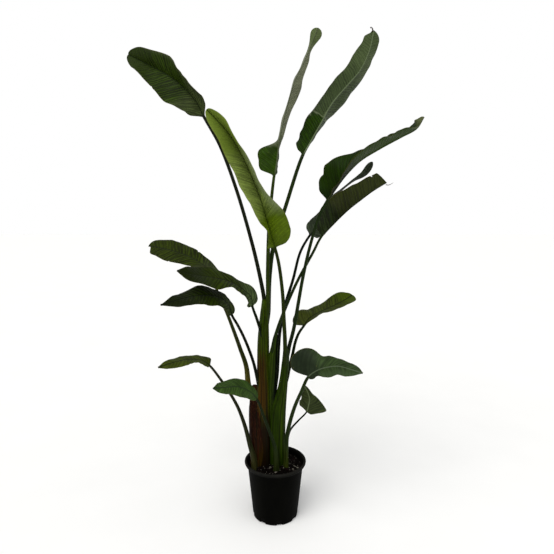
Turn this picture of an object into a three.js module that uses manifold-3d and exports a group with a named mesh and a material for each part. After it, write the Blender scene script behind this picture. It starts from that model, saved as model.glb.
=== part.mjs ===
// A potted giant bird of paradise: a nursery pot, its peat, two bundles of leaf sheaths and fifteen leaves
import * as THREE from 'three';
import { mergeVertices } from 'three/addons/utils/BufferGeometryUtils.js';
import Module from 'manifold-3d';

const wasm = await Module();
wasm.setup();

// Driving dimensions in mm; the origin is the middle of the pot's base and +Z is up
const POT_HEIGHT = 243;
const POT_RIM_RADIUS = 130;
const POT_BODY_TOP_RADIUS = 117;
const POT_BODY_TOP_Z = 222;
const POT_BASE_RADIUS = 95;
const POT_FOOT_RADIUS = 90;
const POT_WALL = 1.8;
const POT_FLOOR_Z = 6;
const POT_SIDES = 48;
const DRAIN_COUNT = 8;
const DRAIN_SIZE = [24, 22, 14];
const SOIL_EDGE_Z = 219;
const SOIL_MOUND = 6;
const SOIL_LUMP = 2.5;
const SOIL_CLEARANCE = 0.65;
const SOIL_RINGS = [1, 0.86, 0.66, 0.44, 0.22, 0.02];
const GAP = 0.35;
const SHARPEST_CORNER = 0.35;
const BLADE_AT_RIB = 1.1;
const BLADE_AT_EDGE = 0.7;
const STEM_SIDES = 16;
const STEM_STEPS = { left: 12, right: 10, middle: 6, stub: 2, dry: 8 };
const STEM_FURROW = 0.06;
const STEM_FURROW_RISE = 130;
const STEM_CROWN = { share: 0.6, rise: 6 };
const STALK_SIDES = 14;
const STALK_CHANNEL = 0.3;
const LONG_STALK_Z = 1000;
const LEAF_STEPS = { long: [11, 14], short: [8, 10] };
const RIB_AT_TIP = 1.2;
const RIB_KEEL = 1.4;
const BLADE_BESIDE_RIB = 2.5;
const FULL_RIPPLE_WIDTH = 30;
const LOBE_FADE = 0.12;
const BASE_ROUNDNESS = 0.6;
const TIP_CROWDING = 0.1;

// Colours of the real pieces
const BLACK_PLASTIC = { color: 0x17181a, roughness: 0.55, metalness: 0 };
const PEAT = { color: 0x2c211a, roughness: 0.95, metalness: 0 };
const GREEN_SHEATH = { color: 0x4d6423, roughness: 0.5, metalness: 0 };
const DRY_SHEATH = { color: 0x4b2c1c, roughness: 0.7, metalness: 0 };
const LEAF_COLOURS = { deep: 0x34481f, bright: 0x6c8a24, grey: 0x5d6a45, bluish: 0x4a6540 };

// Bundles of sheaths: each row is the middle x, y, z and the half width and half depth there
const STEM_LEFT = [
  [-56, 5, 190, 34, 32],
  [-55, 5, 330, 32, 30],
  [-51, 5, 480, 29, 28],
  [-50, 5, 620, 25, 26],
  [-49, 6, 760, 22, 23],
  [-45, 8, 860, 17, 21],
  [-40, 9, 925, 14, 18],
];
const STEM_RIGHT = [
  [9, 0, 190, 36, 28],
  [8, 0, 330, 33, 26],
  [14, 0, 470, 31, 24],
  [31, 0, 565, 19, 18],
  [42, 0, 660, 15, 15],
  [45, 0, 720, 12, 13],
];
const STEM_MIDDLE = [
  [-8, 2, 400, 18, 14],
  [-13, 2, 520, 19, 14],
  [-12, 2, 620, 19, 13],
  [-8, 0, 700, 17, 11],
  [5, 0, 780, 10, 8],
];
const CUT_STUB = [
  [38, 2, 560, 8, 8],
  [50, 0, 600, 7, 7],
  [56, -2, 628, 6, 6],
];
const DRY_WRAP = [
  [-72, 0, 190, 32, 32],
  [-76, 0, 330, 33, 32],
  [-80, 4, 430, 30, 28],
  [-84, 8, 500, 22, 20],
  [-86, 12, 560, 12, 12],
];

/*
Leaves. The stalk's points run up from the sheaths, and the rows follow the rib from base to tip. A row is
x, y, z, then the half widths left and right of the rib, then the angle in degrees that each half is swung:
0 lies flat across the front view, more than 0 comes forward and less than 0 goes back.
upperFront is 1 where the upper face looks forward at angle 0. curl is the turn of each half from rib to
edge, roundEnds the share of the blade that rounds off its base and tip, wave the height and number of waves
along the edge, lobe how far each half reaches back past the base, and sheath the radius of the stalk's foot
and how fast it thins.
*/
const LEAVES = [
  {
    name: 'leaf_top_left',
    colour: 'deep',
    upperFront: 1,
    stalkRadius: [9, 6.3],
    curl: [12, -20],
    roundEnds: [0.08, 0.14],
    wave: [2, 4],
    lobe: [0, 0],
    stalk: [
      [-40, 10, 800],
      [-45, 10, 925],
      [-60, 20, 1010],
      [-94, 55, 1150],
      [-160, 85, 1375],
      [-230, 110, 1560],
    ],
    rows: [
      [-295, 130, 1675, 56, 50, 25, 52],
      [-325, 150, 1735, 80, 74, 25, 69],
      [-390, 185, 1810, 103, 86, 15, 69],
      [-460, 215, 1865, 92, 84, 22, 42],
      [-555, 250, 1920, 66, 70, 34, 46],
      [-645, 285, 1970, 40, 42, 30, 35],
    ],
  },
  {
    name: 'leaf_front_high',
    colour: 'bright',
    upperFront: 1,
    stalkRadius: [9, 6],
    curl: [-12, -18],
    roundEnds: [0.1, 0.12],
    wave: [2, 5],
    lobe: [5, 10],
    stalk: [
      [40, -3, 600],
      [40, -30, 750],
      [35, -35, 855],
      [30, -45, 955],
      [15, -70, 1080],
    ],
    rows: [
      [0, -90, 1145, 50, 55, 30, 20],
      [-20, -105, 1210, 60, 86, 84, 24],
      [-40, -125, 1285, 72, 86, 62, 38],
      [-65, -145, 1365, 80, 80, 54, 72],
      [-110, -165, 1470, 82, 75, 50, 78],
      [-160, -180, 1555, 70, 65, 50, 80],
      [-240, -180, 1640, 40, 40, 50, 50],
    ],
  },
  {
    name: 'leaf_top_middle',
    colour: 'grey',
    upperFront: -1,
    stalkRadius: [9.5, 5.8],
    curl: [-6, 6],
    roundEnds: [0.06, 0.05],
    wave: [2, 5],
    lobe: [7, 0],
    stalk: [
      [-38, -1, 805],
      [-30, -2, 930],
      [-30, 6, 1050],
      [-25, 30, 1230],
      [-15, 40, 1340],
    ],
    rows: [
      [-5, 45, 1425, 62, 28, -12, -64],
      [5, 50, 1485, 78, 26, -20, -74],
      [10, 55, 1530, 84, 28, -26, -78],
      [20, 60, 1585, 44, 30, -76, -72],
      [45, 80, 1695, 60, 48, -82, -66],
      [82, 95, 1815, 70, 66, -84, -62],
      [116, 110, 1885, 42, 38, -76, -64],
      [142, 115, 1945, 20, 18, -66, -60],
      [174, 125, 2022, 30, 30, -12, -8],
    ],
  },
  {
    name: 'leaf_top_right',
    colour: 'deep',
    upperFront: -1,
    stalkRadius: [11, 7],
    curl: [-8, -8],
    roundEnds: [0.12, 0.05],
    wave: [2, 4],
    lobe: [5, 0],
    stalk: [
      [-31, 22, 800],
      [-28, 25, 925],
      [-23, 33, 1030],
      [-6, 40, 1150],
      [45, 60, 1315],
    ],
    rows: [
      [110, 75, 1510, 35, 15, -30, -75],
      [140, 90, 1565, 68, 40, -45, -82],
      [185, 105, 1645, 82, 60, -42, -80],
      [235, 120, 1730, 86, 75, -52, -64],
      [295, 130, 1800, 87, 80, -47, -66],
      [350, 140, 1865, 80, 74, -44, -69],
      [385, 140, 1940, 64, 60, -39, -58],
      [403, 145, 2020, 36, 40, -28, -34],
    ],
  },
  {
    name: 'leaf_right_long',
    colour: 'deep',
    upperFront: 1,
    stalkRadius: [8.5, 5.5],
    curl: [-8, 8],
    roundEnds: [0.14, 0.1],
    wave: [2, 5],
    lobe: [6, 0],
    stalk: [
      [48, 4, 640],
      [55, 5, 720],
      [75, 0, 805],
      [95, -5, 925],
      [110, -10, 1015],
      [135, -15, 1135],
      [170, -30, 1260],
    ],
    rows: [
      [200, -45, 1325, 45, 25, -15, 95],
      [225, -60, 1365, 78, 60, -26, 97],
      [262, -90, 1419, 87, 78, -28, 99],
      [311, -120, 1471, 75, 82, -64, 104],
      [377, -155, 1511, 69, 78, -66, 108],
      [443, -190, 1545, 63, 68, -67, 108],
      [490, -215, 1570, 48, 46, -70, 106],
      [510, -230, 1605, 22, 22, -50, 100],
    ],
  },
  {
    name: 'leaf_right_narrow',
    colour: 'deep',
    upperFront: -1,
    stalkRadius: [8, 5],
    curl: [-10, 10],
    roundEnds: [0.1, 0.1],
    wave: [1, 3],
    lobe: [2, 4],
    stalk: [
      [5, 15, 535],
      [10, 20, 650],
      [20, 35, 795],
      [43, 50, 905],
      [74, 60, 1005],
      [105, 75, 1120],
    ],
    rows: [
      [143, 85, 1186, 36, 40, -15, -20],
      [175, 95, 1225, 45, 48, -30, -40],
      [205, 110, 1280, 50, 50, -64, -66],
      [240, 130, 1344, 22, 22, -72, -74],
      [284, 155, 1380, 12, 12, -66, -68],
      [336, 185, 1420, 10, 10, -60, -60],
      [389, 205, 1454, 18, 17, -44, -40],
      [425, 220, 1503, 20, 18, -30, -20],
    ],
  },
  {
    name: 'leaf_right_arching',
    colour: 'deep',
    upperFront: -1,
    stalkRadius: [8, 5],
    curl: [-10, 10],
    roundEnds: [0.1, 0.03],
    wave: [2, 5],
    lobe: [4, 0],
    stalk: [
      [-7, -2, 660],
      [-9, -4, 740],
      [10, 0, 810],
      [45, 0, 905],
      [92, 5, 1010],
      [154, 10, 1125],
    ],
    rows: [
      [185, 10, 1185, 40, 35, -20, -100],
      [237, 20, 1241, 82, 62, -28, -104],
      [294, 40, 1293, 94, 78, -32, -106],
      [351, 65, 1335, 83, 75, -32, -108],
      [408, 90, 1374, 69, 62, -30, -108],
      [466, 115, 1407, 58, 50, -18, -104],
    ],
  },
  {
    name: 'leaf_left_upper',
    colour: 'deep',
    upperFront: 1,
    stalkRadius: [8.5, 5.3],
    curl: [-10, -10],
    roundEnds: [0.08, 0.1],
    wave: [2, 4],
    lobe: [5, 16],
    sheath: [15, 0.3],
    stalk: [
      [-108, 20, 515],
      [-115, 30, 565],
      [-124, 50, 635],
      [-150, 70, 705],
      [-180, 95, 780],
      [-214, 120, 860],
      [-250, 145, 930],
    ],
    rows: [
      [-270, 165, 985, 24, 58, 55, -28],
      [-300, 185, 1035, 45, 50, 58, -58],
      [-360, 215, 1075, 58, 56, 57, -58],
      [-445, 250, 1105, 70, 68, 50, -56],
      [-520, 280, 1120, 58, 61, 53, -49],
      [-590, 305, 1130, 34, 36, 45, -36],
    ],
  },
  {
    name: 'leaf_left_middle',
    colour: 'deep',
    upperFront: 1,
    stalkRadius: [7.5, 5],
    curl: [-10, -10],
    roundEnds: [0.1, 0.12],
    wave: [2, 4],
    lobe: [8, 4],
    stalk: [
      [-45, -10, 745],
      [-60, -10, 805],
      [-75, -30, 860],
    ],
    rows: [
      [-90, -50, 910, 26, 18, 45, -30],
      [-96, -65, 953, 42, 44, 66, -56],
      [-130, -90, 990, 42, 44, 76, -70],
      [-170, -120, 1020, 41, 44, 78, -69],
      [-225, -155, 1040, 62, 62, 63, -61],
      [-290, -190, 1055, 54, 52, 69, -66],
      [-350, -225, 1075, 14, 12, 50, -30],
    ],
  },
  {
    name: 'leaf_left_lower',
    colour: 'deep',
    upperFront: 1,
    stalkRadius: [7, 5],
    curl: [-10, -10],
    roundEnds: [0.12, 0.12],
    wave: [2, 3],
    lobe: [4, 6],
    stalk: [
      [-65, -10, 545],
      [-75, -15, 605],
      [-90, -30, 680],
      [-120, -65, 780],
      [-145, -95, 845],
    ],
    rows: [
      [-165, -120, 890, 16, 14, 50, -20],
      [-175, -135, 930, 32, 32, 70, -70],
      [-205, -155, 965, 47, 40, 66, -72],
      [-255, -185, 980, 56, 52, 60, -57],
      [-320, -230, 977, 50, 42, 63, -66],
      [-400, -275, 960, 8, 6, 40, -20],
    ],
  },
  {
    name: 'leaf_left_small',
    colour: 'deep',
    upperFront: 1,
    stalkRadius: [7.5, 4.2],
    curl: [-10, -10],
    roundEnds: [0.08, 0.1],
    wave: [2, 3],
    lobe: [2, 4],
    sheath: [17, 0.34],
    stalk: [
      [-84, -37, 185],
      [-89, -38, 262],
      [-105, -45, 330],
      [-125, -50, 415],
      [-155, -60, 505],
      [-205, -85, 605],
    ],
    rows: [
      [-255, -105, 685, 12, 36, 66, -64],
      [-280, -120, 710, 30, 36, 86, -84],
      [-325, -145, 724, 34, 38, 86, -84],
      [-370, -170, 724, 40, 36, 68, -82],
      [-435, -200, 710, 8, 6, 50, -30],
    ],
  },
  {
    name: 'leaf_front_low',
    colour: 'bluish',
    upperFront: 1,
    stalkRadius: [8, 4.5],
    curl: [-10, -10],
    roundEnds: [0.12, 0.1],
    wave: [2, 3],
    lobe: [4, 4],
    sheath: [13, 0.2],
    stalk: [
      [5, -60, 210],
      [0, -70, 320],
      [-20, -90, 400],
      [-45, -110, 480],
    ],
    rows: [
      [-70, -135, 560, 14, 14, 50, -40],
      [-95, -155, 598, 34, 40, 70, -72],
      [-140, -190, 632, 44, 46, 62, -76],
      [-190, -230, 643, 32, 32, 64, -76],
      [-225, -255, 650, 6, 6, 40, -20],
    ],
  },
  {
    name: 'leaf_right_middle',
    colour: 'deep',
    upperFront: 1,
    stalkRadius: [7.5, 5.3],
    curl: [-10, 10],
    roundEnds: [0.1, 0.14],
    wave: [2, 3],
    lobe: [50, 0],
    stalk: [
      [44, 8, 590],
      [58, 20, 632],
      [72, 28, 690],
      [85, 40, 745],
      [100, 50, 780],
    ],
    rows: [
      [120, 65, 805, 46, 15, -24, 75],
      [145, 85, 833, 62, 30, -34, 82],
      [180, 110, 850, 52, 40, -64, 87],
      [220, 140, 862, 52, 50, -68, 86],
      [280, 175, 882, 58, 52, -56, 78],
      [325, 205, 900, 54, 46, -50, 74],
      [350, 228, 912, 34, 22, -36, 60],
    ],
  },
  {
    name: 'leaf_right_broad',
    colour: 'bluish',
    upperFront: 1,
    stalkRadius: [9, 6],
    curl: [-10, -10],
    roundEnds: [0.12, 0.1],
    wave: [2, 3],
    lobe: [86, 20],
    sheath: [12, 0.25],
    stalk: [
      [45, -30, 175],
      [45, -35, 265],
      [50, -45, 375],
      [75, -65, 490],
      [105, -85, 575],
    ],
    rows: [
      [130, -105, 640, 86, 38, -20, 46],
      [160, -120, 670, 103, 26, -22, 64],
      [195, -140, 690, 58, 44, -56, 62],
      [240, -170, 705, 38, 50, -70, 62],
      [280, -200, 703, 31, 40, -71, 64],
      [320, -235, 700, 8, 6, -30, 40],
    ],
  },
  {
    name: 'leaf_back_small',
    colour: 'bluish',
    upperFront: 1,
    stalkRadius: [4.6, 3.4],
    curl: [-10, -10],
    roundEnds: [0.2, 0.12],
    wave: [1, 3],
    lobe: [0, 18],
    stalk: [
      [50, -43, 352],
      [65, 10, 370],
      [100, 55, 390],
    ],
    rows: [
      [137, 95, 411, 22, 34, -10, 10],
      [147, 115, 431, 42, 78, -12, 12],
      [153, 135, 455, 42, 44, -15, 14],
      [144, 150, 485, 30, 17, -15, 18],
      [130, 160, 509, 9, 8, -10, 20],
    ],
  },
];

// Value at t, 0 to 1, on a smooth curve through evenly spaced values
function along(values, t) {
  const place = Math.min(Math.max(t, 0), 1) * (values.length - 1);
  const i = Math.min(Math.floor(place), values.length - 2);
  const w = place - i;
  const a = values[Math.max(i - 1, 0)];
  const b = values[i];
  const c = values[i + 1];
  const d = values[Math.min(i + 2, values.length - 1)];
  return b + 0.5 * w * (c - a + w * (2 * a - 5 * b + 4 * c - d + w * (3 * (b - c) + d - a)));
}

// Closed geometry through rings of equal count, in which point i faces point n - 1 - i across the ring, and
// quads that face each other are split alike
function skin(rings) {
  const n = rings[0].length;
  const position = rings.flat().flatMap((p) => [p.x, p.y, p.z]);
  const index = [];
  for (let r = 0; r + 1 < rings.length; r++) {
    for (let i = 0; i < n; i++) {
      const j = (i + 1) % n;
      const a = r * n + i;
      const b = r * n + j;
      const upper = [a, b, b + n, a, b + n, a + n];
      const lower = [a, b, a + n, b, b + n, a + n];
      index.push(...(i < n / 2 ? upper : lower));
    }
  }
  const last = (rings.length - 1) * n;
  for (let i = 0; i + 1 < n / 2; i++) {
    const j = n - 1 - i;
    const first = [i, j, j - 1, i, j - 1, i + 1];
    index.push(...first);
    index.push(...first.map((k) => last + k).reverse());
  }
  const geometry = new THREE.BufferGeometry();
  geometry.setAttribute('position', new THREE.Float32BufferAttribute(position, 3));
  geometry.setIndex(index);
  return facingOut(geometry);
}

// Same geometry with its triangles turned over where it encloses a negative volume
function facingOut(geometry) {
  const p = geometry.attributes.position;
  const index = Array.from(geometry.index.array);
  const [a, b, c] = [new THREE.Vector3(), new THREE.Vector3(), new THREE.Vector3()];
  let volume = 0;
  for (let k = 0; k < index.length; k += 3) {
    a.fromBufferAttribute(p, index[k]);
    b.fromBufferAttribute(p, index[k + 1]);
    c.fromBufferAttribute(p, index[k + 2]);
    volume += a.dot(b.cross(c));
  }
  if (volume < 0) index.reverse();
  geometry.setIndex(index);
  return geometry;
}

// Geometry with shared corners and without triangles that have no area
function merged(geometry) {
  const bare = geometry.clone();
  bare.deleteAttribute('normal');
  bare.deleteAttribute('uv');
  const welded = mergeVertices(bare, 1e-4);
  const index = [];
  const all = welded.index.array;
  for (let k = 0; k < all.length; k += 3) {
    const [a, b, c] = [all[k], all[k + 1], all[k + 2]];
    if (a !== b && b !== c && c !== a) index.push(a, b, c);
  }
  welded.setIndex(index);
  return facingOut(welded);
}

// Geometry with every face moved out by the same distance, to cut a seat with clearance
function grown(geometry, by = GAP) {
  const p = geometry.attributes.position;
  const index = geometry.index.array;
  const corner = (k) => new THREE.Vector3().fromBufferAttribute(p, index[k]);
  const facing = Array.from({ length: p.count }, () => []);
  for (let k = 0; k < index.length; k += 3) {
    const face = new THREE.Triangle(corner(k), corner(k + 1), corner(k + 2));
    const normal = face.getNormal(new THREE.Vector3());
    for (const i of [index[k], index[k + 1], index[k + 2]]) facing[i].push(normal);
  }
  const moved = facing.flatMap((normals, i) => {
    const out = normals.reduce((sum, normal) => sum.add(normal), new THREE.Vector3()).normalize();
    const least = Math.min(...normals.map((normal) => normal.dot(out)));
    const step = by / Math.max(SHARPEST_CORNER, least);
    return new THREE.Vector3().fromBufferAttribute(p, i).addScaledVector(out, step).toArray();
  });
  const seat = new THREE.BufferGeometry();
  seat.setAttribute('position', new THREE.Float32BufferAttribute(moved, 3));
  seat.setIndex(Array.from(index));
  return seat;
}

function solid(geometry) {
  const vertProperties = new Float32Array(geometry.attributes.position.array);
  const triVerts = new Uint32Array(geometry.index.array);
  return new wasm.Manifold(new wasm.Mesh({ numProp: 3, vertProperties, triVerts }));
}

// Largest connected body of a solid, as geometry
function body(cut) {
  const pieces = cut.decompose();
  const largest = pieces.reduce((best, piece) => (piece.volume() > best.volume() ? piece : best));
  const mesh = largest.getMesh();
  const geometry = new THREE.BufferGeometry();
  geometry.setAttribute('position', new THREE.BufferAttribute(new Float32Array(mesh.vertProperties), 3));
  geometry.setIndex(new THREE.BufferAttribute(new Uint32Array(mesh.triVerts), 1));
  return geometry;
}

// Bundle of sheaths: upright oval rings along a curve, furrowed where one sheath overlaps the next
function stemGeometry(rows, steps, furrow = STEM_FURROW) {
  const line = new THREE.CatmullRomCurve3(rows.map(([x, y, z]) => new THREE.Vector3(x, y, z)));
  const ring = (t, size, rise) => {
    const middle = line.getPoint(t);
    const width = along(rows.map((row) => row[3]), t) * size;
    const depth = along(rows.map((row) => row[4]), t) * size;
    return Array.from({ length: STEM_SIDES }, (_, i) => {
      const angle = ((i + 0.5) * 2 * Math.PI) / STEM_SIDES;
      const swell = 1 + furrow * Math.cos(4 * angle + middle.z / STEM_FURROW_RISE);
      const x = middle.x + width * swell * Math.cos(angle);
      const y = middle.y + depth * swell * Math.sin(angle);
      return new THREE.Vector3(x, y, middle.z + rise);
    });
  };
  const rings = Array.from({ length: steps + 1 }, (_, k) => ring(k / steps, 1, 0));
  rings.push(ring(1, STEM_CROWN.share, STEM_CROWN.rise));
  return skin(rings);
}

// Side and front directions of the section square to the line at t, as seen from the front
function sectionAt(line, t) {
  const tangent = line.getTangent(t);
  const side = new THREE.Vector3(0, 1, 0).cross(tangent).normalize();
  const front = side.clone().cross(tangent);
  return { middle: line.getPoint(t), tangent, side, front };
}

// Directions of one half of the blade at an angle: out from the rib, and square to its front face
function halfAt(section, sign, angle) {
  const { side, front } = section;
  const out = side.clone().multiplyScalar(sign * Math.cos(angle)).addScaledVector(front, Math.sin(angle));
  const face = front.clone().multiplyScalar(Math.cos(angle)).addScaledVector(side, -sign * Math.sin(angle));
  return { out, face };
}

const radians = (degrees) => (degrees * Math.PI) / 180;

// One leaf as it grew: stalk, rib and both halves of the blade in one skin
function leafGeometry(leaf, stalkSteps, bladeSteps) {
  const { stalk, rows, upperFront, stalkRadius, curl, roundEnds, wave, lobe } = leaf;
  const points = [...stalk, ...rows.map((row) => row.slice(0, 3))];
  const line = new THREE.CatmullRomCurve3(points.map((p) => new THREE.Vector3(...p)));
  const bladeStart = stalk.length / (points.length - 1);
  const column = (k) => rows.map((row) => row[k]);
  const halves = [
    { sign: -1, widths: column(3), swings: column(5), curl: radians(curl[0]), lobe: lobe[0], phase: 0 },
    { sign: 1, widths: column(4), swings: column(6), curl: radians(curl[1]), lobe: lobe[1], phase: 1.7 },
  ];

  // Directions of the upper face at the rib, where the two halves meet
  const upAt = (section, u) => {
    const [left, right] = halves.map((half) => {
      return halfAt(section, half.sign, radians(along(half.swings, u)) - half.curl / 2);
    });
    const sum = left.face.clone().add(right.face);
    const mitre = BLADE_AT_RIB / Math.max(sum.length() / 2, SHARPEST_CORNER);
    const up = sum.normalize().multiplyScalar(upperFront);
    const across = right.out.clone().sub(left.out);
    across.addScaledVector(up, -across.dot(up)).normalize();
    return { up, across, mitre };
  };

  const stalkRing = (t) => {
    const section = sectionAt(line, t * bladeStart);
    const { up, across } = upAt(section, 0);
    let radius = stalkRadius[0] + (stalkRadius[1] - stalkRadius[0]) * t;
    if (leaf.sheath) radius += (leaf.sheath[0] - stalkRadius[0]) * Math.exp(-t / leaf.sheath[1]);
    return Array.from({ length: STALK_SIDES }, (_, i) => {
      const angle = Math.PI - ((i + 0.5) * 2 * Math.PI) / STALK_SIDES;
      const fromChannel = i - (STALK_SIDES / 2 - 1) / 2;
      const channel = i < STALK_SIDES / 2 ? 1 - STALK_CHANNEL * Math.exp(-(fromChannel ** 2)) : 1;
      return section.middle
        .clone()
        .addScaledVector(across, radius * Math.cos(angle))
        .addScaledVector(up, radius * channel * Math.sin(angle));
    });
  };

  const bladeRing = (u) => {
    const section = sectionAt(line, bladeStart + u * (1 - bladeStart));
    const rib = stalkRadius[1] + (RIB_AT_TIP - stalkRadius[1]) * u;
    const nearRib = rib + BLADE_BESIDE_RIB;
    const fromBase = Math.sin((Math.PI / 2) * Math.min(1, u / roundEnds[0])) ** BASE_ROUNDNESS;
    const toTip = Math.sqrt(1 - (1 - Math.min(1, (1 - u) / roundEnds[1])) ** 2);
    const upper = [];
    const lower = [];
    for (const half of halves) {
      const width = Math.max(along(half.widths, u) * fromBase * toTip, nearRib + 1);
      const swing = radians(along(half.swings, u));
      for (const distance of [nearRib, (nearRib + width) / 2, width]) {
        const s = distance / width;
        const start = swing - half.curl / 2;
        const angle = start + half.curl * s;
        const reach = (width * (Math.sin(angle) - Math.sin(start))) / half.curl;
        const rise = (width * (Math.cos(start) - Math.cos(angle))) / half.curl;
        const { face } = halfAt(section, half.sign, angle);
        const ripple = wave[0] * s ** 2 * Math.sin(2 * Math.PI * wave[1] * u + half.phase);
        const back = half.lobe * s * fromBase * toTip * Math.exp(-u / LOBE_FADE);
        const middle = section.middle
          .clone()
          .addScaledVector(section.side, half.sign * reach)
          .addScaledVector(section.front, rise)
          .addScaledVector(face, ripple * Math.min(1, width / FULL_RIPPLE_WIDTH))
          .addScaledVector(section.tangent, -back);
        const thickness = BLADE_AT_RIB + (BLADE_AT_EDGE - BLADE_AT_RIB) * s;
        const lift = face.multiplyScalar(upperFront * thickness);
        upper.push(middle.clone().add(lift));
        lower.push(middle.clone().sub(lift));
      }
    }
    const { up, mitre } = upAt(section, u);
    const groove = section.middle.clone().addScaledVector(up, mitre);
    const keel = section.middle.clone().addScaledVector(up, -RIB_KEEL * rib);
    const order = (list, middle) => [list[2], list[1], list[0], middle, list[3], list[4], list[5]];
    return [...order(upper, groove), ...order(lower, keel).reverse()];
  };

  const rings = Array.from({ length: stalkSteps + 1 }, (_, k) => stalkRing(k / stalkSteps));
  for (let k = 1; k <= bladeSteps; k++) {
    const x = k / bladeSteps;
    rings.push(bladeRing(x - TIP_CROWDING * Math.sin(2 * Math.PI * x)));
  }
  return skin(rings);
}

// Nursery pot: tapered body, flared lip rolled over at the top, and drain notches round the foot
const innerTopRadius = POT_BODY_TOP_RADIUS - POT_WALL;
const innerBaseRadius = POT_BASE_RADIUS - POT_WALL;

function innerRadiusAt(z) {
  const t = (z - POT_FLOOR_Z) / (POT_BODY_TOP_Z - POT_FLOOR_Z);
  return innerBaseRadius + (innerTopRadius - innerBaseRadius) * t;
}

function potSolid() {
  const rim = POT_RIM_RADIUS;
  const profile = [
    [0, 0],
    [POT_FOOT_RADIUS, 0],
    [POT_BASE_RADIUS, 5],
    [POT_BODY_TOP_RADIUS, POT_BODY_TOP_Z],
    [rim - 9, POT_BODY_TOP_Z + 2],
    [rim - 2, POT_HEIGHT - 13],
    [rim, POT_HEIGHT - 7],
    [rim - 1.5, POT_HEIGHT - 2],
    [rim - 5, POT_HEIGHT],
    [rim - 8.5, POT_HEIGHT - 2],
    [rim - 11.5, POT_HEIGHT - 11],
    [innerTopRadius, POT_BODY_TOP_Z],
    [innerBaseRadius, POT_FLOOR_Z],
    [0, POT_FLOOR_Z],
  ].map(([x, y]) => new THREE.Vector2(x, y));
  const lathe = new THREE.LatheGeometry(profile, POT_SIDES).rotateX(Math.PI / 2);
  let pot = solid(merged(lathe));
  for (let k = 0; k < DRAIN_COUNT; k++) {
    const notch = new THREE.BoxGeometry(...DRAIN_SIZE)
      .translate(POT_BASE_RADIUS - 2, 0, DRAIN_SIZE[2] / 2 - 1)
      .rotateZ(((k + 0.25) * 2 * Math.PI) / DRAIN_COUNT);
    pot = pot.subtract(solid(merged(notch)));
  }
  return pot;
}

// Peat and bark that fill the pot, lumpy on top and mounded round the stems
function soilGeometry() {
  const circle = (radius, height) =>
    Array.from({ length: POT_SIDES }, (_, i) => {
      const angle = ((i + 0.5) * 2 * Math.PI) / POT_SIDES;
      const x = radius * Math.cos(angle);
      const y = radius * Math.sin(angle);
      return new THREE.Vector3(x, y, height(x, y));
    });
  const bottomZ = POT_FLOOR_Z + GAP;
  const topRadius = innerRadiusAt(SOIL_EDGE_Z) - SOIL_CLEARANCE;
  const bottomRadius = innerRadiusAt(bottomZ) - SOIL_CLEARANCE;
  const rings = [circle(bottomRadius, () => bottomZ)];
  for (const share of SOIL_RINGS) {
    rings.push(
      circle(topRadius * share, (x, y) => {
        const inside = 1 - share ** 2;
        const lumps = SOIL_LUMP * (Math.sin(x / 8) * Math.cos(y / 10) + Math.sin((x + 2 * y) / 13));
        return SOIL_EDGE_Z + inside * SOIL_MOUND + Math.min(1, 3 * inside) * lumps;
      }),
    );
  }
  return skin(rings);
}

const plant = new THREE.Group();

function addPiece(name, geometry, finish) {
  const mesh = new THREE.Mesh(geometry, new THREE.MeshStandardMaterial(finish));
  mesh.name = name;
  plant.add(mesh);
}

// Stems first: every other piece is cut clear of them
const stemLeft = stemGeometry(STEM_LEFT, STEM_STEPS.left);
const rightShoots = [
  stemGeometry(STEM_RIGHT, STEM_STEPS.right),
  stemGeometry(STEM_MIDDLE, STEM_STEPS.middle),
  stemGeometry(CUT_STUB, STEM_STEPS.stub, 0),
];
const dryWrap = stemGeometry(DRY_WRAP, STEM_STEPS.dry);
const leftSeat = solid(grown(stemLeft));
const stemRight = rightShoots.map(solid).reduce((all, shoot) => all.add(shoot));
addPiece('stem_left', stemLeft, GREEN_SHEATH);
addPiece('stem_right', body(stemRight.subtract(leftSeat)), GREEN_SHEATH);
addPiece('sheath_dry', body(solid(dryWrap).subtract(leftSeat)), DRY_SHEATH);
const bundles = [stemLeft, dryWrap, ...rightShoots].map((geometry) => solid(grown(geometry)));

// Leaves, each cut off where its stalk meets the sheaths or another leaf's foot
const feet = [];
for (const leaf of LEAVES) {
  const isLong = leaf.stalk[leaf.stalk.length - 1][2] > LONG_STALK_Z;
  const geometry = leafGeometry(leaf, ...(isLong ? LEAF_STEPS.long : LEAF_STEPS.short));
  let cut = solid(geometry);
  for (const bundle of bundles) cut = cut.subtract(bundle);
  for (const foot of feet) cut = cut.subtract(foot);
  const piece = body(cut);
  if (leaf.sheath) feet.push(solid(grown(geometry)));
  addPiece(leaf.name, piece, { color: LEAF_COLOURS[leaf.colour], roughness: 0.5, metalness: 0 });
}

// Peat with a plain hole for each stem and stalk that stands in it
let soil = solid(soilGeometry());
for (const standing of [...bundles, ...feet]) soil = soil.subtract(standing);
addPiece('soil', body(soil), PEAT);
addPiece('pot', body(potSolid()), BLACK_PLASTIC);

export default plant;
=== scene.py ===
from functools import partial

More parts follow.
